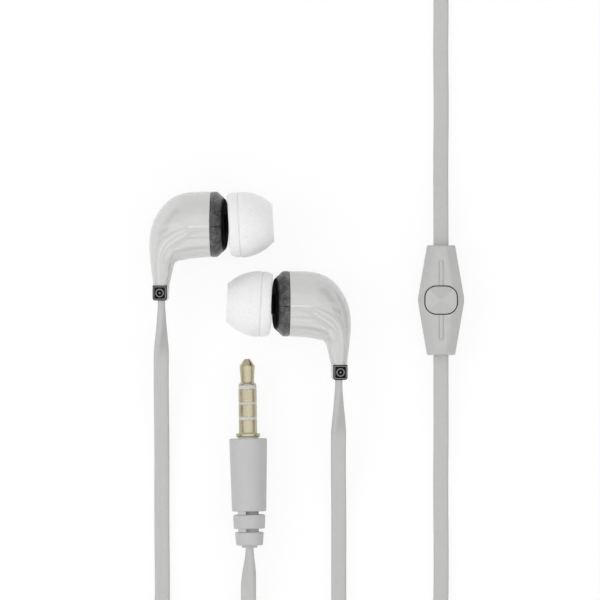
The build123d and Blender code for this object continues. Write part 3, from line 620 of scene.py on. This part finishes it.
def elbow_rings(angles):
    """The elbow's skin from the rim to the squared stem end."""
    rows = [(row, 0.0) for row in smooth_through(ELBOW_STATIONS, ELBOW_STEPS)]
    end = rows[-1][0]
    for share in STEM_SHARES:
        left = end[0] + (STEM_BOTTOM_SIDES[0] - end[0]) * share
        right = end[2] + (STEM_BOTTOM_SIDES[1] - end[2]) * share
        y = end[1] + (STEM_BOTTOM - end[1]) * share
        tuck = TUCK * (max(0.0, share - TUCK_FROM) / (1 - TUCK_FROM)) ** 2
        half = end[4] + (STEM_HALF_THICK - end[4]) * min(1.0, 1.5 * share) - tuck
        rows.append(((left + tuck, y, right - tuck, y, half), min(STEM_SQUARENESS, 2 * share)))
    return [elbow_ring(*row, angles) for row in rows]


def elbow_shell(side, place):
    """The glossy elbow: a rolled-in rim, the smooth bend and the squared stem end."""
    angles = evenly(112)
    skin = elbow_rings(angles)
    lips = [(-1.5, 0.87), (-0.02, 0.87), (0.0, 0.985), (-0.05, 0.997)]
    front = [[Vector((x, p.y * share, p.z * share)) for p in skin[0]] for x, share in lips]
    left, right = STEM_BOTTOM_SIDES
    row = (left + MOUTH_WALL, STEM_BOTTOM, right - MOUTH_WALL, STEM_BOTTOM, MOUTH_HALF_THICK)
    mouth = elbow_ring(row, STEM_SQUARENESS / 2, angles)
    mouth_inside = [point + Vector((0, MOUTH_DEPTH, 0)) for point in mouth]
    rings = front + skin[2:] + [mouth, mouth_inside]
    points = [point + seam_shift(point) for ring in rings for point in ring]
    faces = tube(len(rings), len(angles))
    shell = add_mesh(f"{side}_elbow_shell", points, faces, place, "housing_gloss")
    finish_piece(shell, "housing_gloss", f"{side}_housing")


def bezel(side, place):
    """The mottled band with a fine scratch across its top."""
    depth, front_radius = BEZEL_EDGE
    outline = [(-1.5, BEZEL_BORE), (-1.5, 5.4), (0.06, 5.4), (0.06, RIM_RADIUS - 0.16),
               (0.1, RIM_RADIUS - 0.05), (0.18, RIM_RADIUS), (1.06, RIM_RADIUS), (1.28, 6.24),
               (1.52, 6.12), (1.84, 5.84), (2.24, 5.44), (depth - 0.06, front_radius + 0.12),
               BEZEL_EDGE, (depth - 0.02, BEZEL_BORE)]
    angles = evenly(128) + [math.radians(SCRATCH_AT + step * SCRATCH_HALF) for step in (-1, 0, 1)]
    scratch = math.radians(SCRATCH_AT)

    def warp(point, radius, angle):
        if angle == scratch and point.x > 0.2 and radius > front_radius + 0.1:
            point.yz *= 1 - SCRATCH_DEPTH / radius
        return point + seam_shift(point)

    band = lathe(f"{side}_bezel_band", outline, place, "bezel_mottled", angles=sorted(angles),
                 warp=warp)
    finish_piece(band, "bezel_mottled", f"{side}_bezel")


def front_disc(side, place):
    """The black domed disc with its sound nozzle and barb."""
    outline = [(1.9, 4.3), (1.9, 4.97), (2.64, 5.0), (2.84, 4.92), (3.0, 4.72), (3.1, 4.42),
               (3.16, 3.95), (3.19, 3.2), (3.2, 2.4), (3.2, 2.12), (3.28, 2.02), (3.4, 2.0),
               (7.55, 2.0), (7.6, 2.03), (7.62, 2.32), (7.68, 2.35), (8.6, 2.02), (9.02, 2.0),
               (9.1, 1.93), (9.1, 1.72), (8.86, 1.7), (8.86, 1.4), (2.6, 1.4), (2.6, 4.3)]
    disc = lathe(f"{side}_front_disc", outline, place, "black_gloss")
    finish_piece(disc, "black_gloss", f"{side}_baffle_nozzle")


def silicone_tip(side, place):
    """The silicone dome, which leans on its nozzle; its inner tube stays on the nozzle's axis."""
    skirt = [(3.56, 5.72), (3.62, 5.86), (3.78, 5.97), (4.2, 6.12), (4.8, 6.22), (5.44, 6.29),
             (5.5, 6.08), (5.56, 6.08), (5.6, 6.32), (6.3, 6.31), (7.1, 6.23), (8.2, 5.98),
             (9.4, 5.52), (10.3, 5.04), (10.95, 4.6), (11.45, 4.16), (11.78, 3.82)]
    mouth = arc((11.88, 3.55), (0.2, 0.22), 60, 0, 4) + [(12.1, 2.5)]
    mouth += arc((11.7, 2.5), (0.4, 0.45), 0, -90, 5)
    bore = [(11.3, 2.02), (11.0, 2.1), (10.7, 2.45), (4.5, 2.45), (4.42, 2.6), (4.42, 3.0),
            (4.5, 3.15), (9.9, 3.2)]
    inside = [(9.6, 3.9), (9.2, 4.5), (8.2, 5.1), (6.8, 5.52), (5.2, 5.62), (3.9, 5.46),
              (3.62, 5.42), (3.54, 5.55)]
    lean = Matrix.Rotation(math.radians(TIP_TILTS[side]), 3, "Z")
    lean @= Matrix.Rotation(math.radians(EARBUD_ROLL), 3, "Y")
    pivot = Vector((TIP_PIVOT, 0, 0))

    def warp(point, radius, angle):
        if radius < TUBE_RADIUS and point.x < TUBE_END:
            return point
        leant = lean @ (point - pivot) + pivot
        low_side = max(0.0, -point.y - SAG_FROM) / SAG_OVER
        whole, none = SKIRT_ENDS
        behind = min(1.0, max(0.0, (none - point.x) / (none - whole)))
        leant.x += (SKIRT_SAG * low_side**2 + SKIRT_SHEAR * min(0.0, point.y)) * behind + TIP_AHEAD
        return leant

    tip = lathe(f"{side}_silicone_tip", skirt + mouth + bore + inside, place, "tip_silicone",
                f"{side}_ear_tip", warp=warp)
    rounding = tip.modifiers.new("rounding", "SUBSURF")
    rounding.levels = rounding.render_levels = 1
    finish_piece(tip, "tip_silicone", f"{side}_ear_tip")


def prism(outline, low, high):
    """Points and faces of an upright prism over an outline, its top edge slightly broken."""
    count = len(outline)
    middle = Vector((sum(x for x, y in outline) / count, sum(y for x, y in outline) / count))
    levels = [(low, 0.0), (high - BROKEN_EDGE, 0.0), (high, BROKEN_EDGE)]
    points = []
    for height, inset in levels:
        for x, y in outline:
            corner = Vector((x, y)) - inset * (Vector((x, y)) - middle).normalized()
            points.append((corner.x, corner.y, height))
    return points, tube(len(levels), count)


def band_loop(outer, inner, low, high):
    """Points and faces of a closed raised band between two outlines with as many points."""
    rings = [(outer, low), (outer, high), (inner, high), (inner, low)]
    points = [(x, y, z) for outline, z in rings for x, y in outline]
    return points, walls(len(rings), len(outer), closed=True)


def rounded_outline(left, right, bottom, top, radius, top_radius=None, steps=6):
    """A rectangle's outline with rounded lower corners and its own upper corner radius."""
    upper = radius if top_radius is None else top_radius
    outline = arc((left + radius, bottom + radius), (radius, radius), 180, 270, steps)
    outline += arc((right - radius, bottom + radius), (radius, radius), 270, 360, steps)
    outline += arc((right - upper, top - upper), (upper, upper), 0, 90, steps)
    return outline + arc((left + upper, top - upper), (upper, upper), 90, 180, steps)


def circle(centre, radius, count=28):
    """Points round a circle."""
    return arc(centre, (radius, radius), 0, 360 - 360 / count, count - 1)


def badge(side, place):
    """The black plate on the stem's end with a plain frame, ring and dot."""
    left, right, bottom, top = BADGE
    plate = rounded_outline(left, right, bottom, top, BADGE_ROUND, 0.08)
    shape = prism(plate, BADGE_FOOT, BADGE_TOP)
    piece = add_mesh(f"{side}_badge_plate", *shape, place, "black_gloss")
    finish_piece(piece, "black_gloss", f"{side}_badge")
    centre = ((left + right) / 2, (bottom + top) / 2)
    frame_edges = [rounded_outline(left + inset, right - inset, bottom + inset, top - inset,
                                   BADGE_ROUND - inset, 0.06)
                   for inset in FRAME_INSETS]
    ring_edges = [circle(centre, radius) for radius in RING_RADII]
    marks = [band_loop(*frame_edges, *MARK_LEVELS), band_loop(*ring_edges, *MARK_LEVELS),
             prism(circle(centre, DOT_RADIUS), *MARK_LEVELS)]
    points, faces = [], []
    for more_points, more_faces in marks:
        faces += [tuple(index + len(points) for index in face) for face in more_faces]
        points += more_points
    mark = add_mesh(f"{side}_badge_mark", points, faces, place, "badge_print")


for side in ("left", "right"):
    for add_part in (elbow_shell, bezel, front_disc, silicone_tip, badge):
        add_part(side, earbud_place(side))

# ---- plug: nose at its frame's origin, +X back along its axis
PLUG_WALL_AT = 9.4  # nose to the middle of the stated wall
BARREL_RADIUS = 1.75
BARREL_BORE = 1.3
CONTACT_ENDS = (4.8, 8.05, 10.85)
INSULATOR_LENGTHS = (0.75, 0.45, 0.62)
BARREL_LENGTH = 14.0
FLANGE_RADIUS = 2.3
FLANGE_END = 14.75
SOLDER_TAIL_END = 18.01
PIN_RADIUS = 0.5
NOSE_START = -0.25


def plug_place():
    """The plug's frame from the jack_plug mount."""
    mount = MOUNTS["jack_plug"]
    forward = Vector(mount["axis"])
    nose = Vector(mount["pos_m"]) + PLUG_WALL_AT * MM * forward
    back, up = -forward, Vector((0, 0, 1))
    across = up.cross(back)
    turn = Matrix((back, across, up)).transposed().to_4x4()
    return Matrix.Translation(nose) @ turn @ Matrix.Scale(MM, 4)


def sleeve_outline(start, end, radius):
    """A contact's or an insulator's wall with broken edges."""
    return [(start, BARREL_BORE), (start, radius - BROKEN_EDGE), (start + BROKEN_EDGE, radius),
            (end - BROKEN_EDGE, radius), (end, radius - BROKEN_EDGE), (end, BARREL_BORE)]


def plug_contacts(place):
    """The plug's contacts and insulators, each in place of its node."""
    tip_end, first_end, second_end = CONTACT_ENDS
    starts = [end + gap for end, gap in zip(CONTACT_ENDS, INSULATOR_LENGTHS)]
    tip = [(NOSE_START, 0), (NOSE_START, 0.48), (NOSE_START + 0.1, 0.6), (0.95, 1.36), (1.05, 1.42),
           (1.25, 1.45), (1.5, 1.43), (3.9, 1.27), (4.2, 1.28), (4.35, 1.38), (4.5, 1.6),
           (4.62, 1.67), (tip_end - BROKEN_EDGE, 1.68), (tip_end, 1.64), (tip_end, PIN_RADIUS),
           (SOLDER_TAIL_END, PIN_RADIUS), (SOLDER_TAIL_END, 0)]
    foot = starts[-1]
    flange = [(foot, BARREL_BORE), (foot, BARREL_RADIUS - BROKEN_EDGE),
              (foot + BROKEN_EDGE, BARREL_RADIUS), (BARREL_LENGTH - 0.12, BARREL_RADIUS),
              (BARREL_LENGTH, 1.87), (BARREL_LENGTH + 0.02, 2.2),
              (BARREL_LENGTH + 0.12, FLANGE_RADIUS), (FLANGE_END - 0.16, FLANGE_RADIUS),
              (FLANGE_END, 2.14), (FLANGE_END, 1.6), (SOLDER_TAIL_END, 1.6),
              (SOLDER_TAIL_END, BARREL_BORE)]
    outlines = {
        "plug_tip": tip, "plug_sleeve": flange,
        "plug_ring_1": sleeve_outline(starts[0], first_end, BARREL_RADIUS),
        "plug_ring_2": sleeve_outline(starts[1], second_end, BARREL_RADIUS),
    }
    for number, (start, end) in enumerate(zip(CONTACT_ENDS, starts), 1):
        outlines[f"plug_insulator_{number}"] = sleeve_outline(start, end, BARREL_RADIUS - 0.03)
    made = []
    for node, outline in outlines.items():
        slot = "plug_insulation" if "insulator" in node else "plug_metal"
        piece = lathe(f"{node}_turned", outline, place, slot, angles=evenly(72))
        made.append(finish_piece(piece, slot, node))
    return made


contacts = plug_contacts(plug_place())

# ---- remote's button
BUTTON_SIZE = (6.05, 5.25)
BUTTON_ROUND = 2.1
BUTTON_SKIRT = 1.2
CROWN_HEIGHT = 0.36
CROWN_FOOT = 5.66  # the crown's lowest height above the table
CROWN_SHARES = (0.965, 0.85, 0.7, 0.55, 0.4, 0.25, 0.1)


def remote_button():
    """The button: a soft-cornered cap with a shallow four-sided crown."""
    width, height = BUTTON_SIZE
    outline = rounded_outline(-width / 2, width / 2, -height / 2, height / 2, BUTTON_ROUND, steps=10)
    rings = [(0.94, -BUTTON_SKIRT), (1.0, -BUTTON_SKIRT), (1.0, -0.1), (0.985, -0.03)]
    points = [(x * share, y * share, CROWN_FOOT + z) for share, z in rings for x, y in outline]
    for share in CROWN_SHARES:
        for x, y in outline:
            fall = share * max(abs(x) / (width / 2), abs(y) / (height / 2))
            points.append((x * share, y * share, CROWN_FOOT + CROWN_HEIGHT * (1 - fall)))
    faces = tube(len(points) // len(outline), len(outline))
    place = standing_place("remote_button")
    cap = add_mesh("remote_button_cap", points, faces, place, "button_satin", "remote_button", 4)
    return finish_piece(cap, "button_satin", "remote_button")


# ---- remote's shells
REMOTE_PLACE = standing_place("remote_front_shell")
# Each level's length, and its widths at the ends and in the middle.
REMOTE_BODY = (21.1, (5.4, 9.0))
FRONT_PANEL = (20.75, (1.8, 4.9))
REAR_BELT = (20.7, (5.2, 8.8))
REAR_FACE = (19.7, (4.0, 7.6))
REMOTE_SEAM = 2.6
REMOTE_TOP = 5.6
REMOTE_WALL = 0.8
FACET_FOOT = 4.35  # height of the facets' lower edge
REAR_EDGE = 0.9  # height of the rear face's rounded edge
SHELL_GAP = 0.06
WAIST_REACH = 0.85  # how far the round waist reaches along the sides
RIDGE_ROUND = 0.27
RIDGE_ANGLE = 14.0  # degrees from which an edge is rounded
SHELL_CREASE = 25.0  # and from which it stays sharp
BUTTON_GAP = 0.2
RIB_HALF = 0.3
RIB_REACH = 7.45
RIB_GROOVE = (0.17, 0.14)  # width and depth


def waisted(length, widths, inset=0.0):
    """A plate's outline, wide in the middle, its waist a smooth curve."""
    half, end, middle = length / 2 - inset, widths[0] / 2 - inset, widths[1] / 2 - inset
    slope = (middle - end) / half
    sides = []
    for step in range(9):
        y = WAIST_REACH * (step / 4 - 1)
        sides.append((middle - slope * (y * y / WAIST_REACH + WAIST_REACH) / 2, y))
    right = [(end, -half)] + sides + [(end, half)]
    return right + [(-x, -y) for x, y in right]


def stacked(levels):
    """Points and faces of a closed hull through (outline, height) levels."""
    points = [(x, y, z) for outline, z in levels for x, y in outline]
    return points, tube(len(levels), len(levels[0][0]))


def cut(piece, points, faces):
    """Take a shape in millimetres, in the remote's place, out of a piece."""
    cutter = new_object("cutter", placed_mesh("cutter", points, faces, REMOTE_PLACE))
    boolean = piece.modifiers.new("cut", "BOOLEAN")
    boolean.object = cutter
    boolean.solver = "EXACT"
    settle(piece)
    bpy.data.objects.remove(cutter)


def settle(piece):
    """Turn a piece's modifiers into its mesh."""
    shown = piece.evaluated_get(bpy.context.evaluated_depsgraph_get())
    piece.data = bpy.data.meshes.new_from_object(shown)
    piece.modifiers.clear()


def rounded_hull(name, levels):
    """A remote shell with softly rounded ridges."""
    shell = add_mesh(name, *stacked(levels), REMOTE_PLACE, "remote_gloss", crease=SHELL_CREASE)
    bevel = shell.modifiers.new("ridges", "BEVEL")
    bevel.width = RIDGE_ROUND * MM
    bevel.segments = 3
    bevel.limit_method = "ANGLE"
    bevel.angle_limit = math.radians(RIDGE_ANGLE)
    settle(shell)
    return shell


def cord_passage():
    """A flat slot through the remote's end walls, the cord's size."""
    half, reach = CORD_WIDTH / 2, REMOTE_BODY[0]
    outline = rounded_outline(-half, half, -reach, reach, 0.3)
    return stacked([(outline, REMOTE_SEAM - CORD_THICK / 2), (outline, REMOTE_SEAM + CORD_THICK / 2)])


def front_shell():
    """The faceted front shell, hollow, with the button's hole and the groove round the rib."""
    shell = rounded_hull("remote_front_half", [
        (waisted(*REMOTE_BODY), REMOTE_SEAM),
        (waisted(*REMOTE_BODY), FACET_FOOT),
        (waisted(*FRONT_PANEL), REMOTE_TOP),
    ])
    cut(shell, *stacked([
        (waisted(*REMOTE_BODY, REMOTE_WALL), REMOTE_SEAM - 1),
        (waisted(*REMOTE_BODY, REMOTE_WALL), FACET_FOOT - REMOTE_WALL / 2),
        (waisted(*FRONT_PANEL, REMOTE_WALL / 2), REMOTE_TOP - REMOTE_WALL),
    ]))
    width, height = (size / 2 + BUTTON_GAP for size in BUTTON_SIZE)
    hole = rounded_outline(-width, width, -height, height, BUTTON_ROUND + BUTTON_GAP, steps=10)
    cut(shell, *stacked([(hole, REMOTE_SEAM - 1), (hole, REMOTE_TOP + 1)]))
    groove, depth = RIB_GROOVE
    sides = []
    for grow in (groove, 0):
        half, reach = RIB_HALF + grow, RIB_REACH + grow
        sides.append(rounded_outline(-half, half, -reach, reach, half - 0.01, steps=8))
    cut(shell, *band_loop(*sides, REMOTE_TOP - depth, REMOTE_TOP + 1))
    return shell


def rear_shell():
    """The plainer rear shell, hollow."""
    shell = rounded_hull("remote_rear_half", [
        (waisted(*REAR_FACE), 0),
        (waisted(*REAR_BELT), REAR_EDGE),
        (waisted(*REMOTE_BODY), REMOTE_SEAM - SHELL_GAP),
    ])
    cut(shell, *stacked([
        (waisted(*REAR_FACE, REMOTE_WALL), REMOTE_WALL),
        (waisted(*REMOTE_BODY, REMOTE_WALL), REMOTE_SEAM + 1),
    ]))
    return shell


def cut_for_cord(shell, node):
    """Open a shell's end walls for the cord and put it in its node's place."""
    cut(shell, *cord_passage())
    shell.data.set_sharp_from_angle(angle=math.radians(SHELL_CREASE))
    return finish_piece(shell, "remote_gloss", node)


remote_halves = [cut_for_cord(front_shell(), "remote_front_shell"),
                 cut_for_cord(rear_shell(), "remote_rear_shell")]
button_cap = remote_button()

# ---- the hank's tie
TIE_THICK = 0.4
TIE_ROUND = 2.0
TIE_OVERLAP = 9.0
TIE_SAG = 0.9
TIE_STEPS = 24
TIE_LIFT = 1.1 * TIE_THICK  # the lapped end lies on the other one
LIFT_FROM = 0.85  # share of the reach
LIFT_OVER = 3.0
TIE_TAPER = (0.72, 0.94, 1.0)  # shares of the width, from each end inwards


def tie_path(half_width, bottom, top):
    """Points round the hank across and up, from under its top over the far side and back."""
    reach, high, low = half_width - TIE_ROUND, top - TIE_ROUND, bottom + TIE_ROUND
    radii = (TIE_ROUND, TIE_ROUND)
    turns = arc((-reach, high), radii, 90, 180) + arc((-reach, low), radii, 180, 270)
    turns += arc((reach, low), radii, 270, 360) + arc((reach, high), radii, 0, 90)
    across = [reach * (1 - 2 * step / TIE_STEPS) for step in range(TIE_STEPS + 1)]
    sagging = [(y, top - TIE_SAG * math.cos(math.pi / 2 * y / reach) ** 2) for y in across]
    start = [(y, z) for y, z in sagging if y < TIE_OVERLAP / 2 - 2 * reach / TIE_STEPS]
    last = [(y, z + TIE_LIFT * min(1, max(0, (reach * LIFT_FROM - y) / LIFT_OVER)))
            for y, z in sagging if y > -TIE_OVERLAP / 2]
    return start[:-1] + turns + last[1:]


def hank_tie():
    """The woven strap round the hank, one end lapped over the other."""
    low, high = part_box("cord_tie")
    edge = TIE_THICK / 2
    half = (high.y - low.y) / 2 / MM - edge
    path = tie_path(half, edge + 0.01, high.z / MM - TIE_THICK)
    width = (high.x - low.x) / MM
    section = arc((width / 2 - edge, 0), (edge, edge), -90, 90, 6)
    section += arc((edge - width / 2, 0), (edge, edge), 90, 270, 6)
    points = []
    for index, here in enumerate(path):
        before, after = path[max(index - 1, 0)], path[min(index + 1, len(path) - 1)]
        along = Vector((after[0] - before[0], after[1] - before[1])).normalized()
        normal = Vector((along.y, -along.x))
        taper = TIE_TAPER[min(index, len(path) - 1 - index, 2)]
        for x, lift in section:
            points.append((x * taper, here[0] + lift * normal.x, here[1] + lift * normal.y))
    faces = tube(len(path), len(section))
    strap = add_mesh("hank_strap", points, faces, standing_place("cord_tie"), "tie_band")
    return finish_piece(strap, "tie_band", "cord_tie")


strap = hank_tie()

# ---- cords on their routes
LEFT_LANES = [(7, 0.6), (9, 1), (12, 1), (17, 2), (29, 2)]
LEFT_LAYERS = [(7, 2), (27, 2), (28, 2.25), (29, 2.85)]
MAIN_LANES = [
    (1, 0), (11, 0), (17, 1), (29, 1), (35, 2), (47, 2), (53, 3), (57, 3), (62, 2), (65, 2),
    (71, 1), (83, 1), (89, 0), (90, 0),
]
MAIN_LAYERS = [(1, 0), (53, 0), (58, 1), (90, 1)]
ON_EDGE = 90.0
STEM_TWIST = [(1.2, ON_EDGE), (3.7, 78), (5.8, 66), (8.5, 42), (10.5, 16), (12.5, 0)]
PLUG_TWIST = [(0.5, 86), (2.5, 72), (5.3, 38), (8, 15), (11, 0)]

left_laps = hank_points(7, 29, LEFT_LANES, LEFT_LAYERS)
left_route = LEFT_BUD_ROUTE + left_laps + LEFT_TAIL_ROUTE
enter, leave = len(LEFT_BUD_ROUTE), len(LEFT_BUD_ROUTE) + len(left_laps)
left_hank = [(enter - 4, 0), (enter - 1, ON_EDGE), (leave - 1, ON_EDGE), (leave + 1, 0)]
left_branch, left_path = ribbon("left_branch", left_route, STEM_TWIST, hank=left_hank)
right_branch, right_path = ribbon("right_branch", RIGHT_BUD_ROUTE, STEM_TWIST)
remote_branch, remote_path = ribbon("remote_branch", REMOTE_ROUTE)
main_laps = hank_points(1, 90, MAIN_LANES, MAIN_LAYERS)
main_route = MAIN_ROUTE + main_laps + PLUG_ROUTE
enter, leave = len(MAIN_ROUTE), len(MAIN_ROUTE) + len(main_laps)
main_hank = [(1, 0), (enter - 1, ON_EDGE), (leave, ON_EDGE), (leave + 3, 0)]
main_cord, main_path = ribbon("main_cord_run", main_route, end=PLUG_TWIST, hank=main_hank)

finish_piece(left_branch, "cord_rubber", "left_bud_cord", "left_splitter_cord")
finish_piece(right_branch, "cord_rubber", "right_bud_cord")
finish_piece(remote_branch, "cord_rubber", "remote_cord")
finish_piece(main_cord, "cord_rubber", "main_cord", "plug_cord", "cord_hank")
metres(LEFT_BUD_ROUTE[0])
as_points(left_path)
metres(RIGHT_BUD_ROUTE[0])
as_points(right_path)
metres(REMOTE_ROUTE[0])
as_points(remote_path)
metres(MAIN_ROUTE[0])
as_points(main_path)

# ---- light, table and background
TABLE_HALF = 2.0
TABLE_COLOUR = (0.96, 0.96, 0.96)
# How far the table shows plain white to the camera and in mirrored light.
TABLE_GLOWS = (("Is Camera Ray", 0.87), ("Is Glossy Ray", 0.4))


def add_table():
    """A white table that keeps the object's soft shadow."""
    mesh = bpy.data.meshes.new("table")
    corners = [(x * TABLE_HALF, y * TABLE_HALF, 0) for x, y in ((-1, -1), (1, -1), (1, 1), (-1, 1))]
    mesh.from_pydata(corners, [], [(0, 1, 2, 3)])
    table = new_object("table", mesh)
    finish = Finish(0.8).set("Base Color", (*TABLE_COLOUR, 1))
    finish.material.name = "table_white"
    glow, rays, mix = (finish.node(kind) for kind in ("Emission", "LightPath", "MixShader"))
    total = None
    for ray, share in TABLE_GLOWS:
        term = finish.node("Math")
        term.operation = "MULTIPLY_ADD"
        term.inputs[1].default_value = share
        term.inputs[2].default_value = 0
        finish.join(rays.outputs[ray], term.inputs[0])
        if total:
            finish.join(total, term.inputs[2])
        total = term.outputs[0]
    finish.join(total, mix.inputs["Fac"])
    finish.join(finish.shader.outputs[0], mix.inputs[1])
    finish.join(glow.outputs[0], mix.inputs[2])
    finish.join(mix.outputs[0], finish.tree.nodes["Material Output"].inputs["Surface"])
    mesh.materials.append(finish.material)
    table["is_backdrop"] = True


SKY_LEVEL = 0.83
PANEL_EDGE = 0.8  # degrees over which a panel's edge fades
# Overhead panes and bars: each lies between two pairs of angles and adds its radiance. bearing runs
# from north (0) round either side to south (180), tilt from the zenith, across and along from the
# zenith to the east or west, and to the north.
PANELS = [
    (("bearing", -1, 74), ("tilt", -1, 38), 0.4), (("bearing", 74, 104), ("tilt", -1, 62), 0.4),
    (("bearing", 85, 95), ("tilt", 62, 90), -0.65),
    (("bearing", 38, 76), ("tilt", 63, 84), -0.7), (("bearing", 101, 107), ("tilt", 66, 96), -0.6),
    (("bearing", 105, 110), ("tilt", 24, 66), -0.55), (("bearing", 119, 123), ("tilt", 28, 95), 1.6),
    (("bearing", 140, 144), ("tilt", 36, 66), 1.6), (("bearing", 148, 154), ("tilt", 24, 90), -0.4),
    (("bearing", 157, 181), ("tilt", 29, 46), 0.4), (("bearing", 155, 181), ("tilt", 46.5, 51), -0.6),
    (("bearing", 163, 181), ("tilt", 51.5, 82), 0.5), (("bearing", 154, 181), ("tilt", 83, 89), -0.6),
    (("across", -1, 21), ("along", -7, -4.5), 2.2), (("across", -1, 21), ("along", -11, -8.5), 1.6),
    (("across", -1, 21), ("along", -4, -2), -0.7), (("across", -1, 21), ("along", -13.5, -12), -0.7),
    (("across", -1, 8), ("along", 9, 24), -0.6),
]


class Sky:
    """A world background that is summed from simple terms of the direction."""

    def __init__(self, name):
        self.world = bpy.data.worlds.new(name)
        self.world.use_nodes = True
        self.tree = self.world.node_tree
        self.join = self.tree.links.new
        place = self.tree.nodes.new("ShaderNodeTexCoord").outputs["Generated"]
        split = self.tree.nodes.new("ShaderNodeSeparateXYZ")
        self.join(place, split.inputs[0])
        self.x, self.y, self.z = split.outputs

    def sum(self, operation, first, second):
        """One step of arithmetic on two sockets or numbers."""
        node = self.tree.nodes.new("ShaderNodeMath")
        node.operation = operation
        for socket, value in zip(node.inputs, (first, second)):
            if isinstance(value, (int, float)):
                socket.default_value = value
            else:
                self.join(value, socket)
        return node.outputs[0]

    def between(self, angle, low, high):
        """1 where an angle in degrees lies between two, with soft edges."""
        edges = []
        for edge, levels in ((low, (0.0, 1.0)), (high, (1.0, 0.0))):
            node = self.tree.nodes.new("ShaderNodeMapRange")
            node.interpolation_type = "SMOOTHSTEP"
            node.inputs["From Min"].default_value = math.radians(edge - PANEL_EDGE / 2)
            node.inputs["From Max"].default_value = math.radians(edge + PANEL_EDGE / 2)
            node.inputs["To Min"].default_value, node.inputs["To Max"].default_value = levels
            self.join(angle, node.inputs["Value"])
            edges.append(node.outputs["Result"])
        return self.sum("MULTIPLY", *edges)


def add_world():
    """An even sky with overhead panes and bars that glossy pieces mirror."""
    sky = Sky("studio")
    angles = {
        "bearing": sky.sum("ABSOLUTE", sky.sum("ARCTAN2", sky.x, sky.y), 0),
        "tilt": sky.sum("ARCCOSINE", sky.z, 0),
        "across": sky.sum("ABSOLUTE", sky.sum("ARCTAN2", sky.x, sky.z), 0),
        "along": sky.sum("ARCTAN2", sky.y, sky.z),
    }
    total = SKY_LEVEL
    for first, second, radiance in PANELS:
        inside = sky.sum("MULTIPLY", *(
            sky.between(angles[name], low, high) for name, low, high in (first, second)
        ))
        total = sky.sum("ADD", total, sky.sum("MULTIPLY", inside, radiance))
    background = sky.tree.nodes["Background"]
    background.inputs["Color"].default_value = (1, 1, 1, 1)
    sky.join(total, background.inputs["Strength"])
    bpy.context.scene.world = sky.world


LAMP_AIM = (0.01, -0.01, 0)


def add_lamp(name, place, size, power):
    """A soft square lamp that faces the object and shows in no mirrored light."""
    light = bpy.data.lights.new(name, "AREA")
    light.size = size
    light.energy = power
    lamp = new_object(name, light)
    lamp.location = place
    lamp.visible_glossy = False
    lamp.rotation_euler = (Vector(LAMP_AIM) - Vector(place)).to_track_quat("-Z", "Y").to_euler()


add_table()
add_world()
add_lamp("key", (-0.5, 0.02, 0.45), 0.3, 0.7)
bpy.context.scene.view_settings.view_transform = "Standard"

plain = [[list(map(float, corner)) for corner in box] for box in (cad_bounds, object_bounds())]
